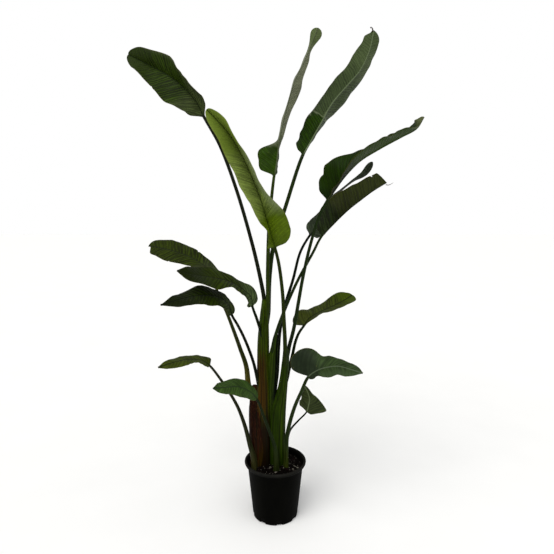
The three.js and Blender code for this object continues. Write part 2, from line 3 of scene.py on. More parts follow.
import bpy
import numpy as np
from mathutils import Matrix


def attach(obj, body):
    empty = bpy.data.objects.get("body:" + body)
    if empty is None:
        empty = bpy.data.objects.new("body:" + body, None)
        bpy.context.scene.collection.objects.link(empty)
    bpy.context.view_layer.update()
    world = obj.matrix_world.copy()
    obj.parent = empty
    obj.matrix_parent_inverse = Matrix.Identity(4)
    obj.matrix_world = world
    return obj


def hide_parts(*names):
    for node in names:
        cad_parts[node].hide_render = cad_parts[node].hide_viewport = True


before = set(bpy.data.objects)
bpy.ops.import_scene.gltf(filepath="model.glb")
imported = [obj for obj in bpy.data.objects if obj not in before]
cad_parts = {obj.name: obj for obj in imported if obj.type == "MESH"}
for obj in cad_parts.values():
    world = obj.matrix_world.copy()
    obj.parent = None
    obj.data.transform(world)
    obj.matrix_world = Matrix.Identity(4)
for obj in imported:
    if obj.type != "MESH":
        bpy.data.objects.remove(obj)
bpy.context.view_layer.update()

# Nursery pot: one blow-moulded shell of black polyethylene. Its lip flares out and rolls over,
# and its foot is pushed in at eight places, where the drain slots are cut.
MM = 0.001
TAU = 2 * np.pi

# Shader nodes by a plain word: type, fixed settings, the inputs filled in order, and the output given back,
# or all of them where it is None. Any other word is the operation of a Math node.
NODES = {
    "place": ("TexCoord", {}, (), "Object"),
    "stretch": ("VectorMath", {"operation": "MULTIPLY"}, (0, 1), 0),
    "parts": ("SeparateXYZ", {}, (0,), None),
    "noise": ("TexNoise", {}, ("Vector", "Scale", "Detail", "Roughness"), 0),
    "ramp": ("ValToRGB", {}, (0,), 0),
    "fade": ("MapRange", {"interpolation_type": "SMOOTHSTEP"}, ("Value", "From Min", "From Max"), 0),
    "mix": ("Mix", {"data_type": "RGBA"}, (0, 6, 7), 2),
    "bump": ("Bump", {}, ("Strength", "Distance", "Height"), 0),
}


def rgb(code):
    """Linear colour of an sRGB hex code, by the sRGB curve."""
    part = np.array([int(code[i : i + 2], 16) for i in (1, 3, 5)]) / 255
    linear = np.where(part <= 0.04045, part / 12.92, ((part + 0.055) / 1.055) ** 2.4)
    return (*linear.tolist(), 1.0)


def add_node(tree, kind, *values, ease="LINEAR", **settings):
    """Adds one shader node by its word and gives back its output. Each value fills an input, or is linked
    to it where it is a socket; a hex code is made linear. Values past the inputs are a ramp's stops: a
    place and a hex code or a grey."""
    type_name, fixed, inputs, out = NODES.get(kind, ("Math", {"operation": kind}, (0, 1, 2), 0))
    made = tree.nodes.new("ShaderNode" + type_name)
    for key, value in {**fixed, **settings}.items():
        setattr(made, key, value)
    for key, value in zip(inputs, values):
        if isinstance(value, bpy.types.NodeSocket):
            tree.links.new(value, made.inputs[key])
        else:
            made.inputs[key].default_value = rgb(value) if isinstance(value, str) else value
    stops = values[len(inputs) :]
    if stops:
        made.color_ramp.interpolation = ease
        bar = made.color_ramp.elements
        while len(bar) < len(stops):
            bar.new(0.5)
        for stop, (at, colour) in zip(bar, stops):
            stop.position = at
            stop.color = rgb(colour) if isinstance(colour, str) else (colour, colour, colour, 1.0)
    return made.outputs if out is None else made.outputs[out]


def grains(*sizes):
    """Scale of a pattern, one over its grain in metres, from the grain in mm, or from one for each axis."""
    scales = tuple(1 / (size * MM) for size in sizes)
    return scales if len(scales) > 1 else scales[0]


def surface(name, **constant):
    """New material, with what adds a node to it, its Principled shader with the constant sockets set, and
    its Object coordinates."""
    made = bpy.data.materials.new(name)
    made.use_nodes = True
    tree = made.node_tree
    shader = tree.nodes["Principled BSDF"]
    for key, value in constant.items():
        shader.inputs[key.replace("_", " ")].default_value = value
    return made, partial(add_node, tree), shader, add_node(tree, "place")


def finish_shader(shader, colour, roughness, height, depth):
    """Links colour, roughness and a bump of the given depth in mm to the shader."""
    tree = shader.id_data
    bump = add_node(tree, "bump", 1.0, depth * MM, height)
    for socket, value in (("Base Color", colour), ("Roughness", roughness), ("Normal", bump)):
        tree.links.new(value, shader.inputs[socket])


def smooth(low, high, x):
    """Smoothstep: 0 below low, 1 above high, and 3t^2 - 2t^3 between them."""
    t = np.clip((np.asarray(x, float) - low) / (high - low), 0, 1)
    return t * t * (3 - 2 * t)


def piece(name, points, faces, material, node=None, fields=None, soft=True):
    """Object from points in mm and faces, which are turned outward where the sum of each face's area times
    its distance from the origin along its normal is negative. It rides on the root, replaces the node and
    takes the material as its finish, and fields are vectors kept on its points for the material."""
    points = np.asarray(points, float).reshape(-1, 3) * MM
    mesh = bpy.data.meshes.new(name)
    mesh.from_pydata(points.tolist(), [], [list(face) for face in faces])
    mesh.update()

    def read(items, key, width, kind=float):
        """Whole array of one value of the mesh's items, of the given width each."""
        values = np.zeros(len(items) * width, kind)
        items.foreach_get(key, values)
        return values

    first_corner = read(mesh.loops, "vertex_index", 1, int)[read(mesh.polygons, "loop_start", 1, int)]
    distance = (points[first_corner] * read(mesh.polygons, "normal", 3).reshape(-1, 3)).sum(1)
    if (distance * read(mesh.polygons, "area", 1)).sum() < 0:
        mesh.flip_normals()
    for label, values in (fields or {}).items():
        field = mesh.attributes.new(label, "FLOAT_VECTOR", "POINT")
        field.data.foreach_set("vector", np.asarray(values, np.float32).ravel())
    mesh.polygons.foreach_set("use_smooth", np.full(len(mesh.polygons), soft))
    mesh.materials.append(material)
    made = bpy.data.objects.new(name, mesh)
    bpy.context.collection.objects.link(made)
    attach(made, "root")
    if node:
        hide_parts(node)


def ring_faces(rings, around):
    """Quads between rings of points that are numbered ring by ring, with one flat face on each end."""
    ring, spoke = np.meshgrid(np.arange(rings - 1), np.arange(around), indexing="ij")
    a = (ring * around + spoke).ravel()
    b = (ring * around + (spoke + 1) % around).ravel()
    faces = np.stack([a, b, b + around, a + around], 1).tolist()
    faces.append(list(range(around))[::-1])
    faces.append(list(range((rings - 1) * around, rings * around)))
    return faces


# The profile in mm, as radius and height, runs out along the foot, up the wall, over the lip and down inside.
POT_AROUND = 320
FOOT_RADIUS = 95
FLARE = 22
FOOT = [(0.5, 0), (30, 0), (60, 0), (78, 0), (86, 0), (90, 0), (92.2, 0.6), (93.8, 1.9), (94.7, 3.4)]
LIP = [
    (117, 220), (117.4, 222.2), (119.5, 223.6), (122.5, 225), (125.5, 227.3), (128, 230.5),
    (129.6, 234), (130, 237), (129.3, 240.2), (127.3, 242.4), (125, 243), (122.8, 242.2),
    (121.3, 240), (120.2, 236.5), (118.9, 232), (117.4, 227), (115.6, 222.5), (114.9, 219),
]
INNER_FLOOR = [(70, 6), (40, 6), (0.5, 6)]
SLOTS = 8
SLOT_HALF_WIDTH = (9.5, 12)
SLOT_TOP = (11.5, 14.5)
SLOT_START = (76, 84)
SLOT_BACK = 82
WAIST_HEIGHT = 205
outer_wall = [(FOOT_RADIUS + FLARE * k / 24, 5 + 215 * k / 24) for k in range(24)]
inner_wall = [(115.2 - FLARE * k / 14, 219 - 213 * k / 14) for k in range(1, 15)]
profile = np.array(FOOT + outer_wall + LIP + inner_wall + INNER_FLOOR)
angle = np.arange(POT_AROUND) * TAU / POT_AROUND
radius = np.repeat(profile[:, :1], POT_AROUND, 1)
height = np.repeat(profile[:, 1:], POT_AROUND, 1)
slot_pitch = TAU / SLOTS
off_slot = np.abs((angle / slot_pitch - 0.25 + 0.5) % 1 - 0.5) * slot_pitch * FOOT_RADIUS
in_slot = (1 - smooth(*SLOT_HALF_WIDTH, off_slot)) * (1 - smooth(*SLOT_TOP, height))
in_slot = in_slot * smooth(*SLOT_START, radius)
outside = (np.arange(len(profile)) < len(FOOT) + len(outer_wall))[:, None]
radius = radius - np.where(outside, in_slot * (radius - SLOT_BACK), 0)
radius = radius - 0.5 * np.exp(-(((height - WAIST_HEIGHT) / 2.2) ** 2)) * outside
pot_points = np.stack([radius * np.cos(angle), radius * np.sin(angle), height], -1)

# Polyethylene, blown in a mould, is a waxy black of low gloss. Dust lifts it in broad patches and use scuffs
# it along its height; the lip is painted a lighter grey, a painted highlight. Its grain, about 0.3 mm, is
# drawn at
# 1.1 mm so that it shows.
LIP_HIGHLIGHT_FROM = 226 * MM
LIP_HIGHLIGHT_TO = 241 * MM
plastic, add, shader, place = surface("black_polyethylene", IOR=1.5, Specular_IOR_Level=0.02)
grain = add("noise", place, grains(1.111), 4.0, 0.55)
dust = add("noise", add("stretch", place, grains(50.5, 50.5, 151.5)), 1.0, 5.0, 0.6)
scuff = add("noise", add("stretch", place, grains(5.556, 5.556, 47.62)), 1.0, 4.0, 0.7)
lifted = add("ramp", dust, (0.35, 0.0), (0.75, 1.0))
colour = add("mix", lifted, "#020201", "#050503")
colour = add("mix", add("ramp", scuff, (0.62, 0.0), (0.72, 0.35)), colour, "#11100d")
# Painted highlight: the lip is painted a lighter grey all round, where it catches the light.
lighter_share = add("fade", add("parts", place)[2], LIP_HIGHLIGHT_FROM, LIP_HIGHLIGHT_TO)
lighter_share = add("MULTIPLY", lighter_share, 0.9)
colour = add("mix", lighter_share, colour, add("mix", lifted, "#141412", "#242320"))
rough = add("ramp", add("ADD", grain, scuff), (0.3, 0.42), (0.9, 0.62))
relief = add("ADD", add("MULTIPLY", grain, 0.35), add("MULTIPLY", scuff, 0.6))
finish_shader(shader, colour, rough, relief, 0.5)
piece("nursery_pot", pot_points, ring_faces(len(profile), POT_AROUND), plastic, "pot")


# Potting mix: peat with chips of composted pine bark and white grains of perlite, mounded
# a little round the stems and wet enough to look almost black between the chips.
MIX_AROUND = 220
MIX_RINGS = 90
MIX_RADIUS = 113.4
MIX_EDGE = 219
MIX_FOOT = 202.0
MOUND_RADIUS = 113.0
MOUND = 6


def mix_height(x, y):
    """Height in mm of the mix: an edge height, a low mound, and lumps made of products and sums of sines."""
    inside = np.clip(1 - (x * x + y * y) / MOUND_RADIUS**2, 0, 1)
    lumps = 2.5 * (np.sin(x / 8) * np.cos(y / 10) + np.sin((x + 2 * y) / 13))
    crumbs = 0.9 * np.sin(x / 2.1 + 2 * np.sin(y / 5)) * np.sin(y / 2.6 + 1.5 * np.sin(x / 4))
    crumbs = crumbs + 0.7 * np.sin((x - y) / 1.7) * np.cos((x + 1.3 * y) / 2.3)
    return MIX_EDGE + inside * MOUND + np.minimum(1, 3 * inside) * (lumps + crumbs)


turn = np.arange(MIX_AROUND) * TAU / MIX_AROUND
share = np.linspace(1, 0.005, MIX_RINGS)[:, None]
x, y = MIX_RADIUS * share * np.cos(turn), MIX_RADIUS * share * np.sin(turn)
top = np.stack([x, y, mix_height(x, y)], -1)
foot_radius = MIX_RADIUS - 0.2
under = np.stack([foot_radius * np.cos(turn), foot_radius * np.sin(turn), np.full(MIX_AROUND, MIX_FOOT)], -1)

# Damp peat is a matt near-black of fine fibres, paler brown where a fibre dries, rough as crumbs are.
peat, add, shader, place = surface("damp_peat", IOR=1.33, Specular_IOR_Level=0.05)
fibre = add("noise", place, grains(2.381), 6.0, 0.7)
clump = add("noise", place, grains(14.286), 4.0, 0.6)
colour = add("ramp", fibre, (0.35, "#030201"), (0.6, "#090604"), (0.8, "#1d140d"))
colour = add("mix", add("ramp", clump, (0.4, 0.0), (0.7, 0.8)), colour, "#080504")
rough = add("ramp", clump, (0.3, 0.7), (0.7, 0.95))
finish_shader(shader, colour, rough, add("ADD", fibre, clump), 3.0)
mix_faces = ring_faces(MIX_RINGS + 1, MIX_AROUND)
piece("potting_mix", np.concatenate([under[None], top]), mix_faces, peat, "soil")


# Loose bits on the mix: flat, broken chips of pine bark, some painted pale as painted glints, and rounded
# crumbs of perlite, a white glass foam. They lie as they fell, and the finest sink in.
SCATTER = (8, 106)
CHIP_SIDE = ((-1.5, -1), (0.2, -1.25), (1.5, -0.8), (1.6, 0.7), (0, 1.2), (-1.6, 0.8))
CHIP = np.array([(a, b, c) for c in (-0.3, 0.3) for a, b in CHIP_SIDE])
CHIP_FACES = [[i, (i + 1) % 6, (i + 1) % 6 + 6, i + 6] for i in range(6)]
CHIP_FACES += [[0, 3, 2, 1], [0, 5, 4, 3], [6, 7, 8, 9], [6, 9, 10, 11]]
GRAIN = np.array([(1, 0, 0), (-1, 0, 0), (0, 1, 0), (0, -1, 0), (0, 0, 1), (0, 0, -1)], float)
GRAIN_FACES = [[0, 2, 4], [2, 1, 4], [1, 3, 4], [3, 0, 4], [2, 0, 5], [1, 2, 5], [3, 1, 5], [0, 3, 5]]


def turned(count, draw, lean):
    """Rotation matrix of each bit: any heading, then tipped by up to the lean angle on both flat axes."""
    a, b, c = draw.uniform(0, TAU, count), draw.uniform(-lean, lean, count), draw.uniform(-lean, lean, count)
    one, none = np.ones(count), np.zeros(count)
    z = np.array([[np.cos(a), -np.sin(a), none], [np.sin(a), np.cos(a), none], [none, none, one]])
    y = np.array([[np.cos(b), none, np.sin(b)], [none, one, none], [-np.sin(b), none, np.cos(b)]])
    x = np.array([[one, none, none], [none, np.cos(c), -np.sin(c)], [none, np.sin(c), np.cos(c)]])
    return np.einsum("ijn,jkn,kln->nil", z, y, x)


def loose_bits(name, material, count, seed, shape, faces, size, lean, sunk):
    """Copies of one small shape at seeded places spread evenly over the mix, each with its corners moved by
    up to 22 percent, scaled within the size range, turned, and set at the mix's height plus sunk in mm."""
    draw = np.random.default_rng(seed)
    reach = np.sqrt(draw.uniform(SCATTER[0] ** 2, SCATTER[1] ** 2, count))
    heading = draw.uniform(0, TAU, count)
    x, y = reach * np.cos(heading), reach * np.sin(heading)
    stretch = draw.uniform(*size, (count, 1, 1))
    local = shape[None] * stretch * (1 + draw.uniform(-0.22, 0.22, (count, len(shape), 3)))
    local = np.einsum("nij,nkj->nki", turned(count, draw, lean), local)
    centre = np.stack([x, y, mix_height(x, y) + sunk], -1)
    step = np.arange(count)[:, None, None] * len(shape)
    all_faces = (np.asarray(faces)[None] + step).reshape(-1, len(faces[0])).tolist()
    piece(name, local + centre[:, None], all_faces, material, soft=False)


# Composted bark is layered, so it breaks into plates with bands about 1 mm thick: most near-black with damp,
# some reddish, and a few painted pale grey as painted glints of light off wet chips.
bark, add, shader, place = surface("pine_bark", IOR=1.45, Specular_IOR_Level=0.05)
layer = add("noise", add("stretch", place, grains(6.25, 6.25, 1.0417)), 1.0, 4.0, 0.65)
which = add("noise", place, grains(14.286), 0.0, 0.55)
colour = add("ramp", layer, (0.3, "#040302"), (0.55, "#0b0604"), (0.8, "#1b120c"))
colour = add("mix", add("ramp", which, (0.3, 0.8), (0.45, 0.0)), colour, "#120506")
# Painted glints: a few chips painted pale grey, standing in for light glinting off wet bark.
colour = add("mix", add("ramp", which, (0.66, 0.0), (0.7, 0.8)), colour, "#6a665c")
finish_shader(shader, colour, add("ramp", layer, (0.3, 0.6), (0.8, 0.9)), layer, 1.2)
loose_bits("bark_chips", bark, 420, 11, CHIP, CHIP_FACES, (1.6, 4.6), 0.45, 0.6)

# Perlite is glass puffed to foam: chalky white, with pits about 1 mm wide that hold the dirt.
perlite, add, shader, place = surface("perlite", IOR=1.5, Specular_IOR_Level=0.1)
pits = add("noise", place, grains(1.111), 2.0, 0.55)
colour = add("ramp", pits, (0.3, "#6c6960"), (0.7, "#bab6aa"))
finish_shader(shader, colour, add("ramp", pits, (0.0, 0.8), (1.0, 0.95)), pits, 0.4)
loose_bits("perlite_grains", perlite, 90, 29, GRAIN, GRAIN_FACES, (0.8, 2.2), 3.1, 0.5)


# Left shoot: a false stem of sheaths, the clasping bases of the leaves, wrapped tightly round each other.
# Fibrous and ribbed lengthwise; fresh green, with one sheath turned orange-brown where it is dying back.
STEM_AROUND = 192
SHEATH_RADIUS = 30
EDGE_SINKS = 0.7
SEAM_WIDTH = 0.06
RIBS = ((0.18, 34), (0.12, 57))
CROWN = ((0.92, 0.5), (0.78, 0.8), (0.5, 1.0), (0.2, 1.05))
NODES["field"] = ("Attribute", {}, (), "Vector")


def catmull(points, t):
    """Centripetal Catmull-Rom curve through points: knots spaced by the root of each chord, ends mirrored."""
    points = np.asarray(points, float)
    place = np.clip(np.asarray(t, float), 0, 1) * (len(points) - 1)
    i = np.minimum(place.astype(int), len(points) - 2)
    w = (place - i)[:, None]
    longer = np.vstack([2 * points[0] - points[1], points, 2 * points[-1] - points[-2]])
    p0, p1, p2, p3 = longer[i], longer[i + 1], longer[i + 2], longer[i + 3]
    d0, d1, d2 = (np.sqrt(np.linalg.norm(b - a, axis=1))[:, None] for a, b in ((p0, p1), (p1, p2), (p2, p3)))
    m1 = ((p1 - p0) / d0 - (p2 - p0) / (d0 + d1) + (p2 - p1) / d1) * d1
    m2 = ((p2 - p1) / d1 - (p3 - p1) / (d1 + d2) + (p3 - p2) / d2) * d1
    return p1 + w * (m1 + w * (3 * (p2 - p1) - 2 * m1 - m2 + w * (2 * (p1 - p2) + m1 + m2)))


def along(values, t):
    """Uniform Catmull-Rom through evenly spaced values, with the end values repeated."""
    values = np.asarray(values, float)
    place = np.clip(np.asarray(t, float), 0, 1) * (len(values) - 1)
    i = np.minimum(place.astype(int), len(values) - 2)
    w = (place - i).reshape(-1, *[1] * (values.ndim - 1))
    a, b = values[np.maximum(i - 1, 0)], values[i]
    c, d = values[i + 1], values[np.minimum(i + 2, len(values) - 1)]
    return b + 0.5 * w * (c - a + w * (2 * a - 5 * b + 4 * c - d + w * (3 * (b - c) + d - a)))


def bundle(name, rows, material, node, edges, steps=260, furrow=0.06, top=6.0):
    """Bundle of sheaths on upright oval rings. Rows are x, y, z, half width and half depth in mm. The oval
    swells by furrow times cos(4a + z/130), low ribs run up it, and each sheath's edge is a step that rises
    at once and sinks back round it. An edge is its angle at the foot, its turn over the length, its height
    in mm and where it starts and ends. A crown of shrinking rings, top mm high, closes the upper end."""
    rows = np.asarray(rows, float)
    t = np.linspace(0, 1, steps)
    middle = catmull(rows[:, :3], t)
    size = along(rows[:, 3:], t)
    a = (np.arange(STEM_AROUND) + 0.5) * TAU / STEM_AROUND
    lift, edge_mark, layer = np.zeros((3, steps, STEM_AROUND))
    for foot_angle, turn, height, start, end in edges:
        past = (a - foot_angle - turn * t[:, None]) % TAU
        shown = smooth(start - 0.02, start + 0.02, t)[:, None] * (1 - smooth(end - 0.03, end, t)[:, None])
        lift += height * shown * smooth(0, 0.05, past) * np.exp(-past / EDGE_SINKS)
        edge_mark += shown * np.exp(-((np.minimum(past, TAU - past) / SEAM_WIDTH) ** 2))
        layer += shown * (past < np.pi)
    (bold, few), (faint, many) = RIBS
    ribs = bold * np.sin(a * few + 3 * np.sin(t[:, None] * 5)) + faint * np.sin(a * many + 2)
    ring = 1 + furrow * np.cos(4 * a + middle[:, 2:] / 130) + (lift + ribs) / size.mean(1)[:, None]
    x = middle[:, :1] + size[:, :1] * ring * np.cos(a)
    y = middle[:, 1:2] + size[:, 1:] * ring * np.sin(a)
    points = np.stack([x, y, np.broadcast_to(middle[:, 2:], x.shape)], -1)
    crown = [middle[-1] + (points[-1] - middle[-1]) * shrink + (0, 0, top * up) for shrink, up in CROWN]
    around = np.broadcast_to(a * SHEATH_RADIUS * MM, (steps, STEM_AROUND))
    field = np.stack([around, layer, edge_mark], -1)
    field = np.concatenate([field, np.repeat(field[-1:], len(crown), 0)])
    faces = ring_faces(steps + len(crown), STEM_AROUND)
    piece(name, np.concatenate([points, crown]), faces, material, node, {"sheath": field})


def shaded(code, by):
    """Hex code with each channel multiplied."""
    return "#" + "".join("%02x" % min(255, int(int(code[i : i + 2], 16) * by)) for i in (1, 3, 5))


def sheath_skin(name, young, mature, pale, dying_and_lighting, band, window, deep=None):
    """Skin of a bundle: waxy and half glossy, with lengthwise streaks between two greens, pale fibres and
    painted shade under the sheaths' edges. The dying_and_lighting colour fills the angles of the window, in
    radians, over the heights of the band in metres: the brown of a sheath that dies back on the left shoot,
    the dried sheath and the cut stalk, a painted lit side on the right shoot, and painted shade on the middle
    bundle. The deep colour, where there is one, is painted shade that comes in below the band's foot;
    noise frays both. Real fibres, about 0.7 mm wide, are drawn 1.6 and 6 mm wide so that they show."""
    stray = 2.4
    jagged = 0.35
    made, add, shader, place = surface(name, IOR=1.45, Specular_IOR_Level=0.05)
    around, layer, edge = add("parts", add("field", attribute_name="sheath"))
    streaks = add("noise", add("stretch", place, grains(5.882, 5.882, 384.6)), 1.0, 5.0, 0.65)
    fine = add("noise", add("stretch", place, grains(1.613, 1.613, 200)), 1.0, 3.0, 0.5)
    broad = add("noise", add("stretch", place, grains(22.22, 22.22, 250)), 1.0, 3.0, 0.6)
    colour = add("mix", add("ramp", streaks, (0.4, 0.0), (0.6, 1.0)), mature, young)
    colour = add("mix", add("ramp", fine, (0.55, 0.0), (0.75, 0.8)), colour, pale)
    older = add("FRACT", add("MULTIPLY", layer, 0.37))
    colour = add("mix", add("ramp", older, (0.0, 0.0), (1.0, 0.55)), colour, mature)
    height = add("MULTIPLY", add("SUBTRACT", streaks, 0.5), jagged)
    height = add("ADD", add("parts", place)[2], height)

    def between(value, low, high, fray):
        """Soft window: 1 where the value is between low and high, fading over fray on each side."""
        rise = add("fade", value, low - fray, low + fray)
        fall = add("fade", value, high + fray, high - fray)
        return add("MULTIPLY", rise, fall)

    # The band's dying_and_lighting colour: on the left shoot, the dried sheath and the cut stalk the real
    # brown of a sheath that dies back; on the right shoot a painted lit side; on the middle bundle painted
    # shade.
    angle = add("MULTIPLY", around, 1 / (SHEATH_RADIUS * MM))
    angle = add("MULTIPLY_ADD", broad, stray, angle)
    across = between(angle, window[0] + stray / 2, window[1] + stray / 2, 0.4)
    dying_and_lighting_share = add("MULTIPLY", between(height, *band, 0.05), across)
    # Painted shade: deep darkens the bundle below the band's foot.
    if deep:
        colour = add("mix", between(height, -1.0, band[0], 0.06), colour, deep)
    lighter_share = add("ramp", streaks, (0.4, 0.0), (0.62, 1.0))
    colour = add("mix", dying_and_lighting_share, colour, add("mix", lighter_share, shaded(dying_and_lighting, 0.62), dying_and_lighting))
    # Painted shade: a dark line where shade falls under each sheath's overlapping edge.
    colour = add("mix", add("MULTIPLY", edge, 0.85, use_clamp=True), colour, "#0b0d03")
    rough = add("ramp", broad, (0.3, 0.34), (0.7, 0.52))
    finish_shader(shader, colour, rough, add("ADD", streaks, add("MULTIPLY", fine, 0.5)), 0.8)
    return made


LEFT_ROWS = [
    (-56, 5, 190, 34, 32), (-55, 5, 330, 32, 30), (-51, 5, 480, 29, 28), (-50, 5, 620, 25, 26),
    (-49, 6, 760, 22, 23), (-45, 8, 860, 17, 21), (-40, 9, 925, 14, 18),
]
LEFT_EDGES = [
    (4.3, 0.5, 2.6, 0.0, 0.86), (5.4, -0.7, 2.2, 0.0, 0.97), (3.5, 0.9, 2.2, 0.0, 0.7),
    (1.2, 0.6, 2.4, 0.0, 0.9), (2.4, -0.6, 2.0, 0.0, 0.8),
]
# Here the dying_and_lighting colour is the real orange-brown of a sheath that dies back, and the deep colour
# is painted shade on the shoot's lower part, below that band.
green_left = sheath_skin(
    "green_sheath_left", "#324700", "#202900", "#4e5d08", "#3f2a04", (0.45, 0.71), (3.7, 5.45), deep="#170e03"
)
bundle("left_shoot", LEFT_ROWS, green_left, "stem_left", LEFT_EDGES)


# Old sheath on the left shoot: the first leaf's base, long dead and dried to purple-brown paper that
# still clasps the shoot, frayed and torn lower at its upper end.
DRY_ROWS = [
    (-72, 0, 190, 32, 32), (-76, 0, 330, 33, 32), (-80, 4, 430, 30, 28), (-84, 8, 500, 22, 20),
    (-86, 12, 560, 12, 12),
]
DRY_EDGES = [(4.6, 0.4, 3.0, 0.0, 0.8), (3.6, -0.5, 2.4, 0.0, 0.9), (2.2, 0.5, 2.4, 0.0, 0.7)]
dry_skin = sheath_skin("dry_sheath", "#2c1003", "#100402", "#553a12", "#403006", (0.19, 0.27), (3.6, 6.0))
bundle("dried_sheath", DRY_ROWS, dry_skin, "sheath_dry", DRY_EDGES, steps=170)


# Right shoot: a second, shorter false stem that forks as its newest leaves leave it, painted brighter green
# at the front right as a painted lit side. A bundle with painted shade on its right side, down to the mix,
# fills the space between the two shoots, and the fork holds the brown-tipped stub of a leaf stalk that was
# cut off.
RIGHT_ROWS = [
    (9, 0, 190, 36, 28), (8, 0, 330, 33, 26), (14, 0, 470, 31, 24), (31, 0, 565, 19, 18),
    (42, 0, 660, 15, 15), (45, 0, 720, 12, 13),
]
RIGHT_EDGES = [
    (4.9, 0.3, 2.6, 0.0, 0.8), (3.9, 0.7, 2.2, 0.0, 0.9), (5.9, -0.5, 2.0, 0.0, 0.7),
    (1.6, 0.4, 2.4, 0.0, 0.85),
]
MIDDLE_ROWS = [
    (-20, 9, 205, 9, 12), (-18, 7, 300, 12, 13), (-8, 2, 400, 18, 14), (-13, 2, 520, 19, 14),
    (-12, 2, 620, 19, 13), (-8, 0, 700, 17, 11), (5, 0, 780, 10, 8),
]
MIDDLE_EDGES = [(4.4, 0.5, 1.8, 0.0, 0.9)]
STUB_ROWS = [(38, 2, 560, 8, 8), (50, 0, 600, 7, 7), (56, -2, 628, 6, 6)]
# Painted light: here the dying_and_lighting colour is a brighter green over the shoot's front right.
green_right = sheath_skin(
    "green_sheath_right", "#263900", "#132100", "#3a4b04", "#2f4502", (0.26, 0.62), (4.8, 5.6)
)
bundle("right_shoot", RIGHT_ROWS, green_right, "stem_right", RIGHT_EDGES, steps=220)
# Painted shade: here the dying_and_lighting colour is near black over the bundle's right side.
deep_skin = sheath_skin("shaded_sheath", "#2d4004", "#182603", "#465417", "#040903", (0.1, 0.9), (4.9, 6.2))
bundle("middle_shoot", MIDDLE_ROWS, deep_skin, None, MIDDLE_EDGES, steps=130)
stub_skin = sheath_skin("cut_stalk", "#2e4010", "#1a240a", "#40491f", "#140c06", (0.612, 0.7), (-1.0, 7.2))
bundle("cut_stub", STUB_ROWS, stub_skin, None, [], steps=40, furrow=0.0, top=0.6)


# Leaf blades: thin, leathery, folded along a stout midrib, with close parallel side veins that run
# out to a wavy margin. Blade, midrib and channelled stalk grow as one piece.
COLUMNS = 14
STALK_STEPS = 60
BLADE_STEPS = 150
HALF_THICK = 0.75
THINS_BY = 0.4
RIB_AT_TIP = 1.2
KEEL_SHARE = 1.25
GROOVE_MM = 0.3
RIB_REACH_MM = 4
LEAST_HALF_MM = 2.5
CALM_BELOW_MM = 30
RIB_CROWDING = 1.5
END_CROWDING = 0.1
FLUTTERS = 26
BLADE_FADES_IN = 0.05
CHANNEL_DEPTH = 0.32
CHANNEL_SPREAD = 0.55
FOOT_SWELLS = 0.35
FOOT_REACH = 0.05
JOINT_SHARE = 0.2
JOINT_REACH = 0.14
FREE_FOOT_Z = 350
PLEAT_MM = 0.22
PLEAT_PITCH_MM = 9.0
LOBE_FADE = 0.12
VEIN_LEAN = 0.75
VEIN_BEND = 0.0012
VEINS_APART_MM = 3.7
FINE_VEIN_MM = 5.2
NODES["pair"] = ("CombineXYZ", {}, (0, 1), 0)


def unit(vectors):
    """Vectors divided by their own lengths."""
    return vectors / np.linalg.norm(vectors, axis=-1)[..., None]


def section_frames(line, t):
    """Middle, tangent, side and front directions of the sections of a line: the side is square to the depth
    axis and to the tangent, and the front is square to both and looks towards -Y."""
    step = 1e-4
    middle = catmull(line, t)
    tangent = unit(catmull(line, np.clip(t + step, 0, 1)) - catmull(line, np.clip(t - step, 0, 1)))
    side = unit(np.cross((0.0, 1.0, 0.0), tangent))
    return middle, tangent, side, np.cross(side, tangent)


def half_blade(k, rows, u, frames, ends, rib, shape, draw):
    """Middle surface of one half of a blade, 0 on the left and 1 on the right, with its face direction, its
    distance from the rib, its signed share of the width, and the face direction and the direction across at
    the rib. The half is an arc of the curl's angle whose chord is swung from the front view; a wave grows
    with the square of the share and a random flutter with its cube, and low pleats follow the veins. The
    base reaches back by the lobe, fading from the base on, and each dent, a place, a spread and a depth
    in mm, narrows the half by depth times exp(-((u - place)/spread)^2): a tear, or below 0 a bulge."""
    middle, tangent, side, front = frames
    sign = 2 * k - 1
    s = (np.arange(1, COLUMNS) / (COLUMNS - 1)) ** RIB_CROWDING
    width = along(rows[:, 3 + k], u) * ends
    for at, spread, depth in shape["dents"][k]:
        width = width - depth * np.exp(-(((u - at) / spread) ** 2))
    width = np.maximum(width, rib + LEAST_HALF_MM)
    curl = np.radians(shape["curl"][k])
    start = np.radians(along(rows[:, 5 + k], u)) - curl / 2
    angle = start[:, None] + curl * s
    reach = width[:, None] * (np.sin(angle) - np.sin(start)[:, None]) / curl
    rise = width[:, None] * (np.cos(start)[:, None] - np.cos(angle)) / curl
    face = np.cos(angle)[..., None] * front[:, None] - sign * np.sin(angle)[..., None] * side[:, None]
    calm = np.minimum(1, width / CALM_BELOW_MM)[:, None]
    wave_height, waves = shape["wave"]
    wave = wave_height * s**2 * np.sin(TAU * waves * u[:, None] + 1.7 * k)
    flutter = shape["flutter"] * s**3 * along(draw.uniform(-1, 1, FLUTTERS), u)[:, None]
    pleat = np.sin(TAU * (u[:, None] * shape["length"] - 0.4 * width[:, None] * s) / PLEAT_PITCH_MM)
    pleat = PLEAT_MM * pleat * np.minimum(1, s * 3) * (1 - s**6)
    back = shape["lobe"][k] * s * ends[:, None] * np.exp(-u / LOBE_FADE)[:, None]
    lift = (wave + flutter + pleat) * calm
    points = middle[:, None] + sign * reach[..., None] * side[:, None] + rise[..., None] * front[:, None]
    points = points + lift[..., None] * face - back[..., None] * tangent[:, None]
    start = start[:, None]
    face_at_rib = np.cos(start) * front - sign * np.sin(start) * side
    out_at_rib = np.cos(start) * side + sign * np.sin(start) * front
    return points, face, width[:, None] * s, sign * s, face_at_rib, out_at_rib


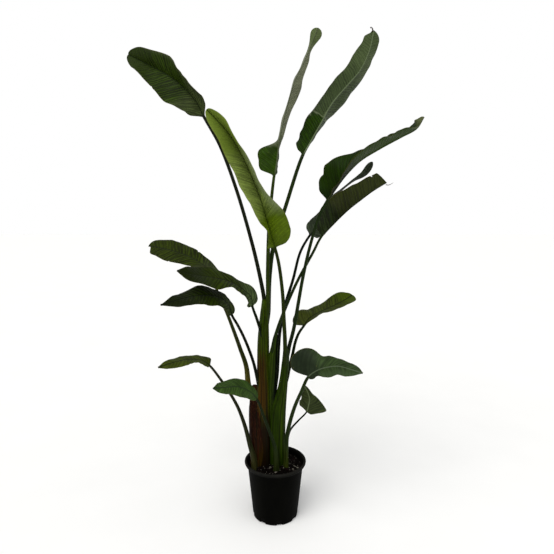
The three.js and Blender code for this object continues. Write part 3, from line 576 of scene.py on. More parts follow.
def leaf(name, slot, material, stalk, rows, **shape):
    """One leaf as a closed skin of rings that run from the left margin over the upper face and back under
    the lower face; on the stalk the ring is a circle with a shallow channel. Stalk points are x, y, z, and
    rows are x, y, z, both half widths and both swings in degrees. Its shape is stalk_mm, the stalk's radii
    at its foot and its top; curl, each half's arc in degrees; round_ends, the shares of the length that the
    base and the tip round off in; wave, its height in mm and count; flutter, in mm; lobe, in mm for each
    half; up, -1 where the underside looks to the front; foot, a wider foot's radius and reach; and the
    dents of each half. A foot that leaves the shoot high up thins out to the joint share as it joins."""
    rows = np.asarray(rows, float)
    line = np.vstack([np.asarray(stalk, float), rows[:, :3]])
    blade_at = len(stalk) / (len(line) - 1)
    usual = {"curl": (-10, -10), "wave": (2, 3), "flutter": 1.0, "lobe": (0, 0), "foot": None, "up": 1}
    shape = {**usual, "dents": ((), ()), **shape}
    draw = np.random.default_rng(sum(ord(letter) for letter in name + "_leaf"))
    t = np.linspace(0, 1, STALK_STEPS)
    x = np.linspace(0, 1, BLADE_STEPS)[1:]
    u = x - END_CROWDING * np.sin(TAU * x)
    frames = section_frames(line, np.concatenate([t * blade_at, blade_at + u * (1 - blade_at)]))
    run = np.concatenate([[0], np.cumsum(np.linalg.norm(np.diff(frames[0], axis=0), axis=1))])
    run = run - run[STALK_STEPS]
    shape["length"] = run[-1]
    blade = tuple(part[STALK_STEPS:] for part in frames)
    blade_run = run[STALK_STEPS:, None]
    low, high = shape["round_ends"]
    ends = np.sin(TAU / 4 * np.minimum(1, u / low)) ** 0.6
    ends = ends * np.sqrt(1 - (1 - np.minimum(1, (1 - u) / high)) ** 2)
    thick_foot, thick_top = shape["stalk_mm"]
    rib = (thick_top + (RIB_AT_TIP - thick_top) * u)[:, None]
    halves = [half_blade(k, rows, u, blade, ends, rib[:, 0], shape, draw) for k in (0, 1)]

    # The upper side and the direction across at the rib are the means of how the two halves start there.
    up = shape["up"] * unit(halves[0][4] + halves[1][4])
    across = halves[0][5] + halves[1][5]
    across = unit(across - (across * up).sum(1)[:, None] * up)

    # Each face lies half the thickness from the middle surface, with a groove over the rib, a keel under it.
    upper, lower, veins, distances, shares = [], [], [], [], []
    for points, face, distance, share, _, _ in halves:
        near = np.exp(-((distance / RIB_REACH_MM) ** 2))[..., None]
        lift = unit(shape["up"] * face * (1 - near) + up[:, None] * near)
        thick = HALF_THICK - THINS_BY * np.abs(share)
        groove = GROOVE_MM * np.exp(-((distance / (0.7 * rib + 1)) ** 2))
        keel = KEEL_SHARE * rib * np.exp(-((distance / (0.95 * rib)) ** 2))
        upper.append(points + lift * (thick - groove)[..., None])
        lower.append(points - lift * (thick + keel)[..., None])
        veins.append(blade_run - VEIN_LEAN * distance + VEIN_BEND * distance**2)
        distances.append(distance)
        shares.append(np.broadcast_to(share, distance.shape))
    crest = (blade[0] + up * 0.25)[:, None]
    keel_line = (blade[0] - up * (HALF_THICK + KEEL_SHARE * rib))[:, None]
    ring = [upper[0][:, ::-1], crest, upper[1], lower[1][:, ::-1], keel_line, lower[0]]
    blade_rings = np.concatenate(ring, 1)

    # The stalk's rings turn with the start of the blade and run on under it, to fade into its base.
    count = 4 * COLUMNS - 2
    half_count = count // 2
    turn = np.pi - (np.arange(count) + 0.5) * np.pi / half_count
    channel = 1 - CHANNEL_DEPTH * np.exp(-(((turn - np.pi / 2) / CHANNEL_SPREAD) ** 2))
    radius = (thick_foot + (thick_top - thick_foot) * t) * (1 + FOOT_SWELLS * np.exp(-t / FOOT_REACH))
    if shape["foot"]:
        foot_radius, foot_reach = shape["foot"]
        radius = radius + (foot_radius - thick_foot) * np.exp(-t / foot_reach)
    if stalk[0][2] > FREE_FOOT_Z:
        radius = radius * (JOINT_SHARE + (1 - JOINT_SHARE) * smooth(0, JOINT_REACH, t))
    radius = np.concatenate([radius, np.full(len(u), thick_top)])[:, None]
    middle, _, side, front = frames
    up_all, across_all = (
        ((axis[0] @ blade[2][0]) * side + (axis[0] @ blade[3][0]) * front)[:, None] for axis in (up, across)
    )
    outward = across_all * (radius * np.cos(turn))[..., None]
    round_rings = middle[:, None] + outward + up_all * (radius * np.sin(turn) * channel)[..., None]
    mix = smooth(0, BLADE_FADES_IN, u)[:, None, None]
    blade_rings = blade_rings * mix + round_rings[STALK_STEPS:] * (1 - mix)
    rings = np.concatenate([round_rings[:STALK_STEPS], blade_rings])

    def over(values, stalk_values, centre):
        """Values of all rings: on the blade left half reversed, centre, right half, then back underneath."""
        left, right = values
        centre = np.broadcast_to(centre, (len(left), 1))
        row = np.concatenate([left[:, ::-1], centre, right, right[:, ::-1], centre, left], 1)
        return np.concatenate([np.broadcast_to(stalk_values, (STALK_STEPS, count)), row])

    shift = VEINS_APART_MM * over([np.ones((1, COLUMNS - 1)), np.zeros((1, COLUMNS - 1))], 0, 1)[-1]
    vein_at = over(veins, run[:STALK_STEPS, None], blade_run) + shift
    is_upper = np.broadcast_to(np.arange(count) < half_count, (len(rings), count))
    is_blade = np.concatenate([np.zeros(STALK_STEPS), mix.ravel()])[:, None] * np.ones(count)
    place = np.concatenate([t - 1, u])[:, None] * np.ones(count)
    fields = {
        "veins": np.stack([vein_at * MM, over(distances, 0, 0) * MM, over(shares, 0, 0)], -1),
        "kind": np.stack([is_upper, is_blade, place], -1),
    }
    piece(name + "_leaf", rings, ring_faces(len(rings), count), material, "leaf_" + name, fields)


def blade_skin(
    name, upper, lower, rib, stalk, base=None, tip=None, pale=None, foot=None, vein=0.5, vein_mm=12.0,
    rib_mm=2.4, gloss=0.36, under_shade=None, lit_edge=0.0,
):
    """Skin of a leaf, a waxy cuticle over ribbed flesh: soft gloss, light veins, their own paler colour with
    a painted sheen on top, and painted shade in the hollows between them. Veins are where sin(2 pi v / pitch
    + noise) is high, v the vein coordinate, with finer ones between; the real ones are 5 mm apart, and are
      drawn
    12 to 18 mm apart so that they show. Upper and lower face, midrib, stalk and its foot each have a colour.
    The base is a colour, its reach along the blade and its fade, the tip a colour and where it starts, and
    pale a colour for the right half with the shares where it starts and is full. The lower face is dark up to
    the under shade, where a folded base shuts out the light, the fold past the base has a lit edge, and the
    margin dries brown. The more the veins show, the more the patches do."""
    made, add, shader, place = surface(name + "_skin", IOR=1.42, Specular_IOR_Level=0.06)
    vein_at, distance, side = add("parts", add("field", attribute_name="veins"))
    is_upper, is_blade, reach = add("parts", add("field", attribute_name="kind"))
    line = add("pair", vein_at, add("MULTIPLY", side, 12 * MM))
    close = add("noise", line, grains(2.381), 2.0, 0.5)
    uneven = add("noise", line, grains(16.667), 3.0, 0.6)
    wide = add("noise", line, grains(33.333), 1.0, 0.5)
    patch = add("noise", place, grains(90.909), 3.0, 0.6)
    freckle = add("noise", place, grains(3.846), 3.0, 0.6)
    streak = add("noise", add("stretch", place, grains(3.333, 3.333, 125)), 1.0, 4.0, 0.6)
    spots = add("noise", place, grains(7.692), 2.0, 0.5)

    def layered(code, *layers):
        """Colour of a code with layers over it, each a mask and how many times as bright it is."""
        colour = code
        for mask, by in layers:
            colour = add("mix", mask, colour, shaded(code, by))
        return colour

    def wavy(pitch_mm, stray):
        """Sine of the vein coordinate at a pitch, led astray by the uneven noise."""
        phase = add("MULTIPLY", vein_at, TAU / (pitch_mm * MM))
        return add("SINE", add("ADD", phase, add("MULTIPLY", uneven, stray)))

    # Painted light: the light vein stripes are the veins' paler colour with a painted sheen on top, and the
    # hollows between them get painted shade.
    wave = wavy(vein_mm, 16.0)
    vein_and_sheen_mask = add("ramp", wave, (0.1, 0.0), (0.95, 1.0), ease="EASE")
    hollow_shade_mask = add("ramp", add("MULTIPLY", wave, -1.0), (0.2, 0.0), (0.95, 1.0), ease="EASE")
    close_veins = add("MULTIPLY_ADD", wavy(FINE_VEIN_MM, 9.0), 0.16, close)
    close_mask = add("ramp", close_veins, (0.4, 0.0), (0.66, 1.0))
    shown = add("MULTIPLY", add("ramp", patch, (0.35, 0.45), (0.55, 1.0)), vein)
    vein_and_sheen = add("MULTIPLY", vein_and_sheen_mask, shown)
    hollow_shade = add("MULTIPLY", hollow_shade_mask, shown)
    patchy = 0.4 + 0.65 * vein
    top = layered(
        upper,
        (add("MULTIPLY", close_mask, 0.3 + 0.3 * vein), 1.3),
        (add("ramp", patch, (0.38, 0.0), (0.62, patchy)), 0.7),
        (add("ramp", wide, (0.45, 0.0), (0.6, 0.9 * patchy)), 1.3),
        (hollow_shade, 0.6),
        (vein_and_sheen, 1.8),
    )
    under = layered(
        lower,
        (add("MULTIPLY", close_mask, 0.6), 1.22),
        (hollow_shade, 0.6),
        (add("MULTIPLY", vein_and_sheen, 0.8), 1.5),
        (add("ramp", wide, (0.45, 0.0), (0.6, 0.6)), 1.2),
        (add("MULTIPLY", add("ramp", freckle, (0.45, 0.0), (0.7, 1.0)), 0.35), 0.7),
    )
    drift = add("MULTIPLY", add("SUBTRACT", wide, 0.5), 0.12)
    drift = add("ADD", reach, drift)
    if under_shade:
        closed = add("ramp", drift, (under_shade - 0.1, 0.9), (under_shade + 0.08, 0.0))
        under = add("mix", closed, under, shaded(lower, 0.3))
    colour = add("mix", is_upper, under, top)
    if pale:
        lighter, starts, full = pale
        right = add("MULTIPLY", add("fade", side, starts, full), 0.8)
        colour = add("mix", right, colour, layered(lighter, (hollow_shade, 0.7)))
    if tip:
        tip_colour, starts = tip
        tint = layered(tip_colour, (hollow_shade, 0.65))
        beyond = add("ramp", drift, (starts - 0.06, 0.0), (min(starts + 0.06, 1.0), 1.0))
        colour = add("mix", beyond, colour, tint)
    if base:
        base_colour, ends, fade = base
        tint = layered(
            base_colour,
            (add("MULTIPLY", vein_and_sheen_mask, 0.7 * vein), 1.7),
            (add("MULTIPLY", hollow_shade_mask, 0.7 * vein), 0.62),
            (add("ramp", patch, (0.4, 0.0), (0.65, 0.8)), 0.7),
        )
        within = add("ramp", drift, (max(0.0, ends - fade), 1.0), (ends + fade, 0.0))
        colour = add("mix", within, colour, tint)
        if lit_edge:
            fold = add("ramp", drift, (ends - 0.012, 0.0), (ends, lit_edge), (ends + 0.012, 0.0))
            colour = add("mix", fold, colour, "#a9b08c")
    near_rib = add("fade", distance, rib_mm * 1.4 * MM, rib_mm * 0.7 * MM)
    colour = add("mix", near_rib, colour, rib)
    margin = add("MULTIPLY", add("SUBTRACT", freckle, 0.5), 0.05)
    margin = add("ADD", add("ABSOLUTE", side), margin)
    colour = add("mix", add("ramp", margin, (0.965, 0.0), (1.0, 0.3)), colour, "#7a6a3a")
    stem = add("mix", add("ramp", streak, (0.35, 0.0), (0.7, 1.0)), shaded(stalk, 0.8), shaded(stalk, 1.4))
    if foot:
        tint = add("mix", add("ramp", streak, (0.35, 0.0), (0.65, 1.0)), shaded(foot, 0.6), foot)
        low = add("ramp", add("ADD", reach, 1.0), (0.12, 1.0), (0.34, 0.0))
        stem = add("mix", low, stem, tint)
    colour = add("mix", is_blade, stem, colour)
    colour = add("mix", add("ramp", spots, (0.73, 0.0), (0.76, 0.5)), colour, "#6b6233")
    rough = add("ramp", patch, (0.3, gloss), (0.7, gloss + 0.16))
    ridge = add("ADD", add("MULTIPLY", wave, 0.35), add("MULTIPLY", close, 0.4))
    ridge = add("ADD", add("MULTIPLY", ridge, is_blade), add("MULTIPLY", streak, 0.3))
    finish_shader(shader, colour, rough, ridge, 1.2)
    return made


# Highest leaf on the left: full-grown and dark, its right half turned up along the rib and painted paler
# there as a painted sheen, with side veins that stand out strongly. Its stalk comes out of the top of the
# left shoot.
top_left_skin = blade_skin(
    "top_left", "#1e2a07", "#2c3620", "#1c2710", "#12160a", base=("#363f21", 0.33, 0.06),
    tip=("#27340c", 0.78), pale=("#3b4428", 0.75, 1.0), vein=0.7, vein_mm=15.0,
)
leaf(
    "top_left", "leaf", top_left_skin,
    [(-40, 10, 800), (-45, 10, 925), (-60, 20, 1010), (-94, 55, 1150), (-160, 85, 1375), (-230, 110, 1560)],
    [
        (-295, 130, 1675, 56, 50, 25, 52), (-325, 150, 1735, 80, 74, 25, 69),
        (-390, 185, 1810, 103, 86, 15, 69), (-460, 215, 1865, 92, 84, 22, 42),
        (-555, 250, 1920, 66, 70, 34, 46), (-645, 285, 1970, 40, 42, 30, 35),
    ],
    stalk_mm=(9, 6.3), curl=(12, -20), round_ends=(0.08, 0.14), wave=(2, 4), flutter=1.5,
    dents=(((0.62, 0.004, 8),), ((0.14, 0.03, -5),)),
)


# Newest leaf, in front of the two left stalks: still bright yellow-green and thin, twisted once on its way
# up, with a fine dark rib. Its stalk comes out of the right shoot.
front_high_skin = blade_skin(
    "front_high", "#6b7a3a", "#4b562a", "#36460e", "#1b2404", base=("#556a10", 0.34, 0.06),
    tip=("#66782b", 0.72), pale=("#76825a", 0.15, 0.9), vein=0.16, vein_mm=14.0, gloss=0.34,
)
leaf(
    "front_high", "young_leaf", front_high_skin,
    [(40, -3, 600), (40, -30, 750), (35, -35, 855), (30, -45, 955), (15, -70, 1080)],
    [
        (0, -90, 1145, 50, 55, 30, 20), (-20, -105, 1210, 60, 86, 84, 24), (-40, -125, 1285, 72, 86, 62, 38),
        (-65, -145, 1365, 80, 80, 54, 72), (-110, -165, 1470, 82, 75, 50, 78),
        (-160, -180, 1555, 70, 65, 50, 80), (-240, -180, 1640, 40, 40, 50, 50),
    ],
    stalk_mm=(9, 6), curl=(-12, -18), round_ends=(0.1, 0.12), wave=(2, 5), lobe=(5, 10), flutter=2.0,
    dents=(((0.11, 0.045, 20), (0.36, 0.06, 9), (0.46, 0.04, 4)), ((0.62, 0.08, -4),)),
)


# Middle leaf of the top: turned so that its narrow upper part shows the pale grey-green underside, with a
# saturated green lobe at its base and a spoon-shaped tip. It grows from the top of the left shoot.
top_middle_skin = blade_skin(
    "top_middle", "#1d3008", "#656952", "#4a5238", "#222e09", base=("#233a00", 0.34, 0.06),
    tip=("#53603a", 0.86), vein=0.28,
)
leaf(
    "top_middle", "leaf_underside", top_middle_skin,
    [(-38, -1, 805), (-30, -2, 930), (-30, 6, 1050), (-25, 30, 1230), (-15, 40, 1340)],
    [
        (-5, 45, 1425, 62, 28, -12, -64), (5, 50, 1485, 78, 26, -20, -74), (10, 55, 1530, 84, 28, -26, -78),
        (20, 60, 1585, 44, 30, -76, -72), (45, 80, 1695, 60, 48, -82, -66), (82, 95, 1815, 70, 66, -84, -62),
        (116, 110, 1885, 42, 38, -76, -64), (142, 115, 1945, 20, 18, -66, -60),
        (174, 125, 2022, 30, 30, -12, -8),
    ],
    up=-1, stalk_mm=(9.5, 5.8), curl=(-6, 6), round_ends=(0.06, 0.05), wave=(2, 5), lobe=(7, 0), flutter=1.2,
    dents=(((0.03, 0.03, 10),), ((0.1, 0.02, -9),)),
)


# Tallest leaf, on the right: deep green near its base, greyer and finely veined above, with a light rib.
# Its thick stalk comes out of the left shoot behind the other two, and its tip is split.
top_right_skin = blade_skin(
    "top_right", "#22330d", "#2f3a20", "#5e6b4c", "#182408", base=("#192c00", 0.34, 0.02),
    tip=("#445130", 0.72), pale=("#46523a", 0.8, 1.0), vein=0.55, rib_mm=2.0, lit_edge=0.25,
)
leaf(
    "top_right", "leaf", top_right_skin,
    [(-31, 22, 800), (-28, 25, 925), (-23, 33, 1030), (-6, 40, 1150), (45, 60, 1315)],
    [
        (110, 75, 1510, 35, 15, -30, -75), (140, 90, 1565, 68, 40, -45, -82),
        (185, 105, 1645, 82, 60, -42, -80), (235, 120, 1730, 86, 75, -52, -64),
        (295, 130, 1800, 87, 80, -47, -66), (350, 140, 1865, 80, 74, -44, -69),
        (385, 140, 1940, 64, 60, -39, -58), (403, 145, 2020, 36, 40, -28, -34),
    ],
    up=-1, stalk_mm=(11, 7), curl=(-8, -8), round_ends=(0.12, 0.05), wave=(2, 4), lobe=(5, 0), flutter=2.0,
    dents=(((0.985, 0.012, 12), (0.93, 0.04, 6), (0.13, 0.02, -4), (0.2, 0.02, -4)), ()),
)


# Long leaf that leans right: a broad saturated lobe, bumpy along its upper margin, then a blade folded so
# tightly that its underside shows as a grey strip. Its stalk leaves the right arm of the fork.
right_long_skin = blade_skin(
    "right_long", "#142400", "#1f3000", "#28370a", "#16210a", base=("#0c1e06", 0.07, 0.07),
    tip=("#5b6240", 0.9), foot="#171d0f", vein=0.22, vein_mm=14.0, under_shade=0.4,
)
leaf(
    "right_long", "leaf", right_long_skin,
    [
        (48, 4, 640), (55, 5, 720), (75, 0, 805), (95, -5, 925), (110, -10, 1015), (135, -15, 1135),
        (170, -30, 1260),
    ],
    [
        (200, -45, 1325, 45, 25, -15, 95), (225, -60, 1365, 78, 60, -26, 97),
        (262, -90, 1419, 87, 78, -28, 99), (311, -120, 1471, 75, 82, -64, 104),
        (377, -155, 1511, 69, 78, -66, 108), (443, -190, 1545, 63, 68, -67, 108),
        (490, -215, 1570, 48, 46, -70, 106), (510, -230, 1605, 22, 22, -50, 100),
    ],
    stalk_mm=(8.5, 5.5), curl=(-8, 8), round_ends=(0.14, 0.1), wave=(2, 5), lobe=(6, 0), flutter=3.0,
    dents=(((0.06, 0.018, -5), (0.19, 0.022, 9), (0.24, 0.02, -5), (0.55, 0.14, 5)), ((0.1, 0.03, -4),)),
)


# Dark leaf seen nearly edge-on behind the long one: a rounded base, a blade folded narrow and a spoon tip.
# Its stalk leaves the right shoot at the back.
right_narrow_skin = blade_skin(
    "right_narrow", "#171d0e", "#20271a", "#12180c", "#090f05", base=("#323c2a", 0.32, 0.06), vein=0.8,
)
leaf(
    "right_narrow", "leaf", right_narrow_skin,
    [(5, 15, 535), (10, 20, 650), (20, 35, 795), (43, 50, 905), (74, 60, 1005), (105, 75, 1120)],
    [
        (143, 85, 1186, 36, 40, -15, -20), (175, 95, 1225, 45, 48, -30, -40),
        (205, 110, 1280, 50, 50, -64, -66), (240, 130, 1344, 22, 22, -72, -74),
        (284, 155, 1380, 12, 12, -66, -68), (336, 185, 1420, 10, 10, -60, -60),
        (389, 205, 1454, 18, 17, -44, -40), (425, 220, 1503, 20, 18, -30, -20),
    ],
    up=-1, stalk_mm=(8, 5), curl=(-10, 10), round_ends=(0.1, 0.1), wave=(1, 3), lobe=(2, 4),
)


# Olive leaf that arches right, ribbed across, its tip torn off square where it dried. Its stalk rises out
# of the middle bundle.
right_arching_skin = blade_skin(
    "right_arching", "#182009", "#212608", "#191f0a", "#18230a", base=("#151d07", 0.33, 0.06),
    tip=("#262c0b", 0.7), pale=("#343a20", 0.8, 1.0), vein=0.75, vein_mm=18.0,
)
leaf(
    "right_arching", "leaf", right_arching_skin,
    [(-7, -2, 660), (-9, -4, 740), (10, 0, 810), (45, 0, 905), (92, 5, 1010), (154, 10, 1125)],
    [
        (185, 10, 1185, 40, 35, -20, -100), (237, 20, 1241, 82, 62, -28, -104),
        (294, 40, 1293, 94, 78, -32, -106), (351, 65, 1335, 83, 75, -32, -108),
        (408, 90, 1374, 69, 62, -30, -108), (466, 115, 1407, 58, 50, -18, -104),
    ],
    up=-1, stalk_mm=(8, 5), curl=(-10, 10), round_ends=(0.1, 0.03), wave=(2, 5), lobe=(4, 0), flutter=1.5,
    dents=(((0.9, 0.006, 10),), ()),
)


# Upper of the three left leaves: olive, arched over to the back, with a split tip. Its brown-footed stalk
# stands against the dried sheath.
left_upper_skin = blade_skin(
    "left_upper", "#1f2704", "#2a301a", "#1c2210", "#23280d", base=("#394124", 0.3, 0.06), foot="#5f5718",
    vein=0.68, vein_mm=17.0,
)
leaf(
    "left_upper", "leaf", left_upper_skin,
    [
        (-108, 20, 515), (-115, 30, 565), (-124, 50, 635), (-150, 70, 705), (-180, 95, 780), (-214, 120, 860),
        (-250, 145, 930),
    ],
    [
        (-270, 165, 985, 24, 58, 55, -28), (-300, 185, 1035, 45, 50, 58, -58),
        (-360, 215, 1075, 58, 56, 57, -58), (-445, 250, 1105, 70, 68, 50, -56),
        (-520, 280, 1120, 58, 61, 53, -49), (-590, 305, 1130, 34, 36, 45, -36),
    ],
    stalk_mm=(8.5, 5.3), round_ends=(0.08, 0.1), wave=(2, 4), lobe=(5, 16), foot=(15, 0.3), flutter=1.5,
    dents=(((0.975, 0.035, 26), (0.6, 0.006, 7)), ((0.45, 0.005, 6),)),
)


# Middle of the three left leaves: olive-green, its far half folded under along the rib. Its stalk bends
# forward out of the left shoot.
left_middle_skin = blade_skin(
    "left_middle", "#1d2602", "#262d14", "#191f0b", "#0d1506", base=("#384427", 0.31, 0.06),
    tip=("#182103", 0.74), vein=0.65, vein_mm=16.0,
)
leaf(
    "left_middle", "leaf", left_middle_skin,
    [(-45, -10, 745), (-60, -10, 805), (-75, -30, 860)],
    [
        (-90, -50, 910, 26, 18, 45, -30), (-96, -65, 953, 42, 44, 66, -56), (-130, -90, 990, 42, 44, 76, -70),
        (-170, -120, 1020, 41, 44, 78, -69), (-225, -155, 1040, 62, 62, 63, -61),
        (-290, -190, 1055, 54, 52, 69, -66), (-350, -225, 1075, 14, 12, 50, -30),
    ],
    stalk_mm=(7.5, 5), round_ends=(0.1, 0.12), wave=(2, 4), lobe=(8, 4), flutter=1.2,
)


# Lower of the three left leaves: darkest, with a long drawn-out tip. Its stalk leaves the left shoot
# halfway up and leans to the front.
left_lower_skin = blade_skin(
    "left_lower", "#172003", "#1f2612", "#0e1507", "#060a01", base=("#293218", 0.33, 0.06),
    tip=("#131b03", 0.74), foot="#1a210a", vein=0.62, vein_mm=15.0,
)
leaf(
    "left_lower", "leaf", left_lower_skin,
    [(-65, -10, 545), (-75, -15, 605), (-90, -30, 680), (-120, -65, 780), (-145, -95, 845)],
    [
        (-165, -120, 890, 16, 14, 50, -20), (-175, -135, 930, 32, 32, 70, -70),
        (-205, -155, 965, 47, 40, 66, -72), (-255, -185, 980, 56, 52, 60, -57),
        (-320, -230, 977, 50, 42, 63, -66), (-400, -275, 960, 8, 6, 40, -20),
    ],
    stalk_mm=(7, 5), round_ends=(0.12, 0.12), lobe=(4, 6), flutter=1.2,
)


# Small leaf over the left of the pot: an early, narrow leaf on a thin stalk that rises from the mix
# beside the left shoot, brownish at its foot.
left_small_skin = blade_skin(
    "left_small", "#2f380b", "#30381a", "#1a220c", "#1d200f", foot="#383718", vein=0.28, vein_mm=15.0,
)
leaf(
    "left_small", "leaf", left_small_skin,
    [
        (-84, -37, 185), (-89, -38, 262), (-105, -45, 330), (-125, -50, 415), (-155, -60, 505),
        (-205, -85, 605),
    ],
    [
        (-255, -105, 685, 12, 36, 66, -64), (-280, -120, 710, 30, 36, 86, -84),
        (-325, -145, 724, 34, 38, 86, -84), (-370, -170, 724, 40, 36, 68, -82),
        (-435, -200, 710, 8, 6, 50, -30),
    ],
    stalk_mm=(7.5, 4.2), round_ends=(0.08, 0.1), lobe=(2, 4), foot=(17, 0.34),
)


# Low leaf in front of the two shoots: an early leaf, mid green. Its stalk, pale-edged at the front, rises
# from the mix.
front_low_skin = blade_skin(
    "front_low", "#2c3f19", "#2c3a20", "#22301a", "#101a04", foot="#26300f", vein=0.25,
)
leaf(
    "front_low", "bluish_leaf", front_low_skin,
    [(5, -60, 210), (0, -70, 320), (-20, -90, 400), (-45, -110, 480)],
    [
        (-70, -135, 560, 14, 14, 50, -40), (-95, -155, 598, 34, 40, 70, -72),
        (-140, -190, 632, 44, 46, 62, -76), (-190, -230, 643, 32, 32, 64, -76),
        (-225, -255, 650, 6, 6, 40, -20),
    ],
    stalk_mm=(8, 4.5), round_ends=(0.12, 0.1), lobe=(4, 4), foot=(13, 0.2),
)


# Leaf at mid height on the right: olive at its lobed base, bright at its broad tip, narrow between. Its
# stalk leaves the right shoot where it forks.
right_middle_skin = blade_skin(
    "right_middle", "#2e360d", "#2e3619", "#1a220c", "#0f1807", base=("#323910", 0.3, 0.06),
    tip=("#3f4f08", 0.72), vein=0.3, vein_mm=16.0,
)
leaf(
    "right_middle", "leaf", right_middle_skin,
    [(44, 8, 590), (58, 20, 632), (72, 28, 690), (85, 40, 745), (100, 50, 780)],
    [
        (120, 65, 805, 46, 15, -24, 75), (145, 85, 833, 62, 30, -34, 82), (180, 110, 850, 52, 40, -64, 87),
        (220, 140, 862, 52, 50, -68, 86), (280, 175, 882, 58, 52, -56, 78), (325, 205, 900, 54, 46, -50, 74),
        (350, 228, 912, 34, 22, -36, 60),
    ],
    stalk_mm=(7.5, 5.3), curl=(-10, 10), round_ends=(0.1, 0.14), lobe=(50, 0),
)


# Broad leaf over the right of the pot: an early leaf, bluish where its left lobe faces away, green beyond.
# Its stalk rises from the mix in front of the right shoot.
right_broad_skin = blade_skin(
    "right_broad", "#2a381d", "#2e3c26", "#4a5640", "#18230a", base=("#222b1c", 0.3, 0.06),
    pale=("#38482c", 0.1, 0.8), foot="#3a4410", vein=0.2, vein_mm=16.0,
)
leaf(
    "right_broad", "bluish_leaf", right_broad_skin,
    [(45, -30, 175), (45, -35, 265), (50, -45, 375), (75, -65, 490), (105, -85, 575)],
    [
        (130, -105, 640, 86, 38, -20, 46), (160, -120, 670, 103, 26, -22, 64),
        (195, -140, 690, 58, 44, -56, 62), (240, -170, 705, 38, 50, -70, 62),
        (280, -200, 703, 31, 40, -71, 64), (320, -235, 700, 8, 6, -30, 40),
    ],
    stalk_mm=(9, 6), round_ends=(0.12, 0.1), lobe=(86, 20), foot=(12, 0.25), flutter=1.2,
    dents=(((0.35, 0.055, 15), (0.64, 0.12, -5)), ((0.06, 0.06, 14),)),
)


# Smallest leaf, behind the broad one: it grows from the broad leaf's stalk on a wiry stalk of its own, and
# its blade stands nearly upright.
back_small_skin = blade_skin("back_small", "#2c341b", "#28321e", "#5c6846", "#10180a", vein=0.4)
leaf(
    "back_small", "bluish_leaf", back_small_skin,
    [(50, -43, 352), (65, 10, 370), (100, 55, 390)],
    [
        (137, 95, 411, 22, 34, -10, 10), (147, 115, 431, 42, 78, -12, 12), (153, 135, 455, 42, 44, -15, 14),
        (144, 150, 485, 30, 17, -15, 18), (130, 160, 509, 9, 8, -10, 20),
    ],
    stalk_mm=(4.6, 3.4), round_ends=(0.2, 0.12), wave=(1, 3), lobe=(0, 18), flutter=0.8,
    dents=((), ((0.12, 0.06, 7), (0.3, 0.08, -4), (0.6, 0.14, 9))),
)


# Dry ends of two leaves: where the drawn-out tip of a blade has died, a curled brown strand of rib and
# margin is left, stiff and papery.
STRAND_STEPS = 40
STRAND_AROUND = 8
ARCHING_END = [(462, 112, 1398), (474, 114, 1397), (486, 115, 1402), (494, 116, 1408)]
TALLEST_END = [(398, 146, 2016), (396, 140, 2024), (391, 138, 2029), (388, 144, 2031), (392, 150, 2029)]


def strand(name, material, points, thick):
    """Thin dry strand: rings square to a curve, whose radius tapers evenly from thick in mm to a fifth."""
    t = np.linspace(0, 1, STRAND_STEPS)
    middle, _, side, front = (part[:, None] for part in section_frames(points, t))
    turn = (np.arange(STRAND_AROUND) * TAU / STRAND_AROUND)[:, None]
    rings = middle + (thick * (1 - 0.8 * t))[:, None, None] * (np.cos(turn) * side + np.sin(turn) * front)
    piece(name, rings, ring_faces(STRAND_STEPS, STRAND_AROUND), material)


# Dead leaf tissue is brown paper, matt, with fibres about 1 mm wide drawn out along it.
dried_tip, add, shader, place = surface("dried_leaf_tip", IOR=1.42, Specular_IOR_Level=0.12)
fibre = add("noise", add("stretch", place, grains(1.111, 1.111, 3.333)), 1.0, 3.0, 0.55)
colour = add("ramp", fibre, (0.35, "#1d1712"), (0.7, "#4a3c2c"))
finish_shader(shader, colour, add("ramp", fibre, (0.3, 0.6), (0.7, 0.8)), fibre, 0.6)
strand("right_arching_strand", dried_tip, ARCHING_END, 1.8)
strand("top_right_curl", dried_tip, TALLEST_END, 3.2)


# Studio: a pale seamless floor under a white sky that gives the soft ambient light, one broad soft key light
# from high at the front left, and a weaker one from the right.
FLOOR_REACH = 30.0
AMBIENT = 0.5
SENSOR_MM = 36
LENS_MM = 31.19
CAMERA_AT = (0.0072, -1.927, 1.273)
LOOKS_DOWN = 7.37
NODES["seen"] = ("LightPath", {}, (), "Is Camera Ray")

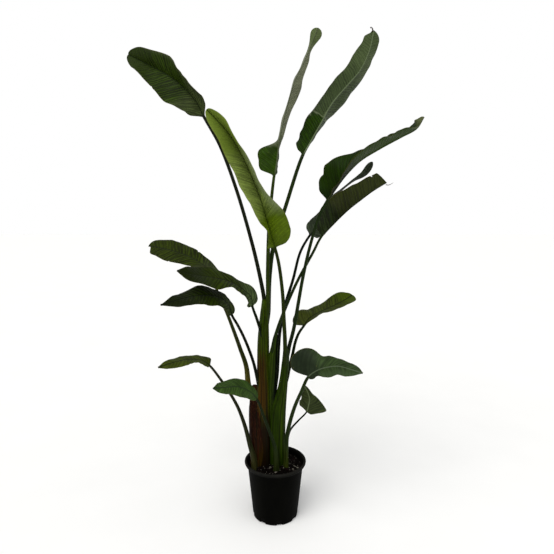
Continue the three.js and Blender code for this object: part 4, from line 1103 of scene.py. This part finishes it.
# Backdrop paper, matt and near white, with a mottle too faint to see as a pattern.
paper, add, shader, place = surface("pale_floor", Roughness=0.9)
mottle = add("noise", place, grains(333.33), 2.0, 0.55)
colour = add("ramp", mottle, (0.0, "#f6f6f5"), (1.0, "#fafaf9"))
finish_shader(shader, colour, add("ramp", mottle, (0.0, 0.9), (1.0, 0.95)), mottle, 0.0)
floor_mesh = bpy.data.meshes.new("floor")
floor_corners = [(FLOOR_REACH * x, FLOOR_REACH * y, 0) for x, y in ((-1, -1), (1, -1), (1, 1), (-1, 1))]
floor_mesh.from_pydata(floor_corners, [], [(0, 1, 2, 3)])
floor_mesh.materials.append(paper)
floor = bpy.data.objects.new("floor", floor_mesh)
bpy.context.collection.objects.link(floor)

world = bpy.data.worlds.new("studio")
bpy.context.scene.world = world
world.use_nodes = True
sky = world.node_tree
backdrop = sky.nodes["Background"]
backdrop.inputs[0].default_value = rgb("#ffffff")
lit = add_node(sky, "MULTIPLY_ADD", add_node(sky, "seen"), 1.0 - AMBIENT, AMBIENT)
sky.links.new(lit, backdrop.inputs[1])


def soft_sun(name, towards, strength, spread, tint):
    """Sun that shines along a direction, its disc wide enough to give soft shadows."""
    lamp = bpy.data.lights.new(name, "SUN")
    lamp.energy = strength
    lamp.angle = np.radians(spread)
    lamp.color = tint
    made = bpy.data.objects.new(name, lamp)
    flat = np.hypot(towards[0], towards[1])
    made.rotation_euler = (np.arctan2(flat, -towards[2]), 0, np.arctan2(towards[1], towards[0]) - np.pi / 2)
    bpy.context.collection.objects.link(made)


soft_sun("key", (0.45, 0.7, -1.1), 1.95, 45, (1, 0.99, 0.97))
soft_sun("fill", (-0.8, 0.6, -0.7), 0.6, 80, (0.98, 0.99, 1))
bpy.context.scene.view_settings.view_transform = "Standard"

eye = bpy.data.cameras.new("camera")
eye.sensor_width = SENSOR_MM
eye.lens = LENS_MM
camera = bpy.data.objects.new("camera", eye)
camera.location = CAMERA_AT
camera.rotation_euler = (np.radians(90 - LOOKS_DOWN), 0, 0)
bpy.context.collection.objects.link(camera)
bpy.context.scene.camera = camera
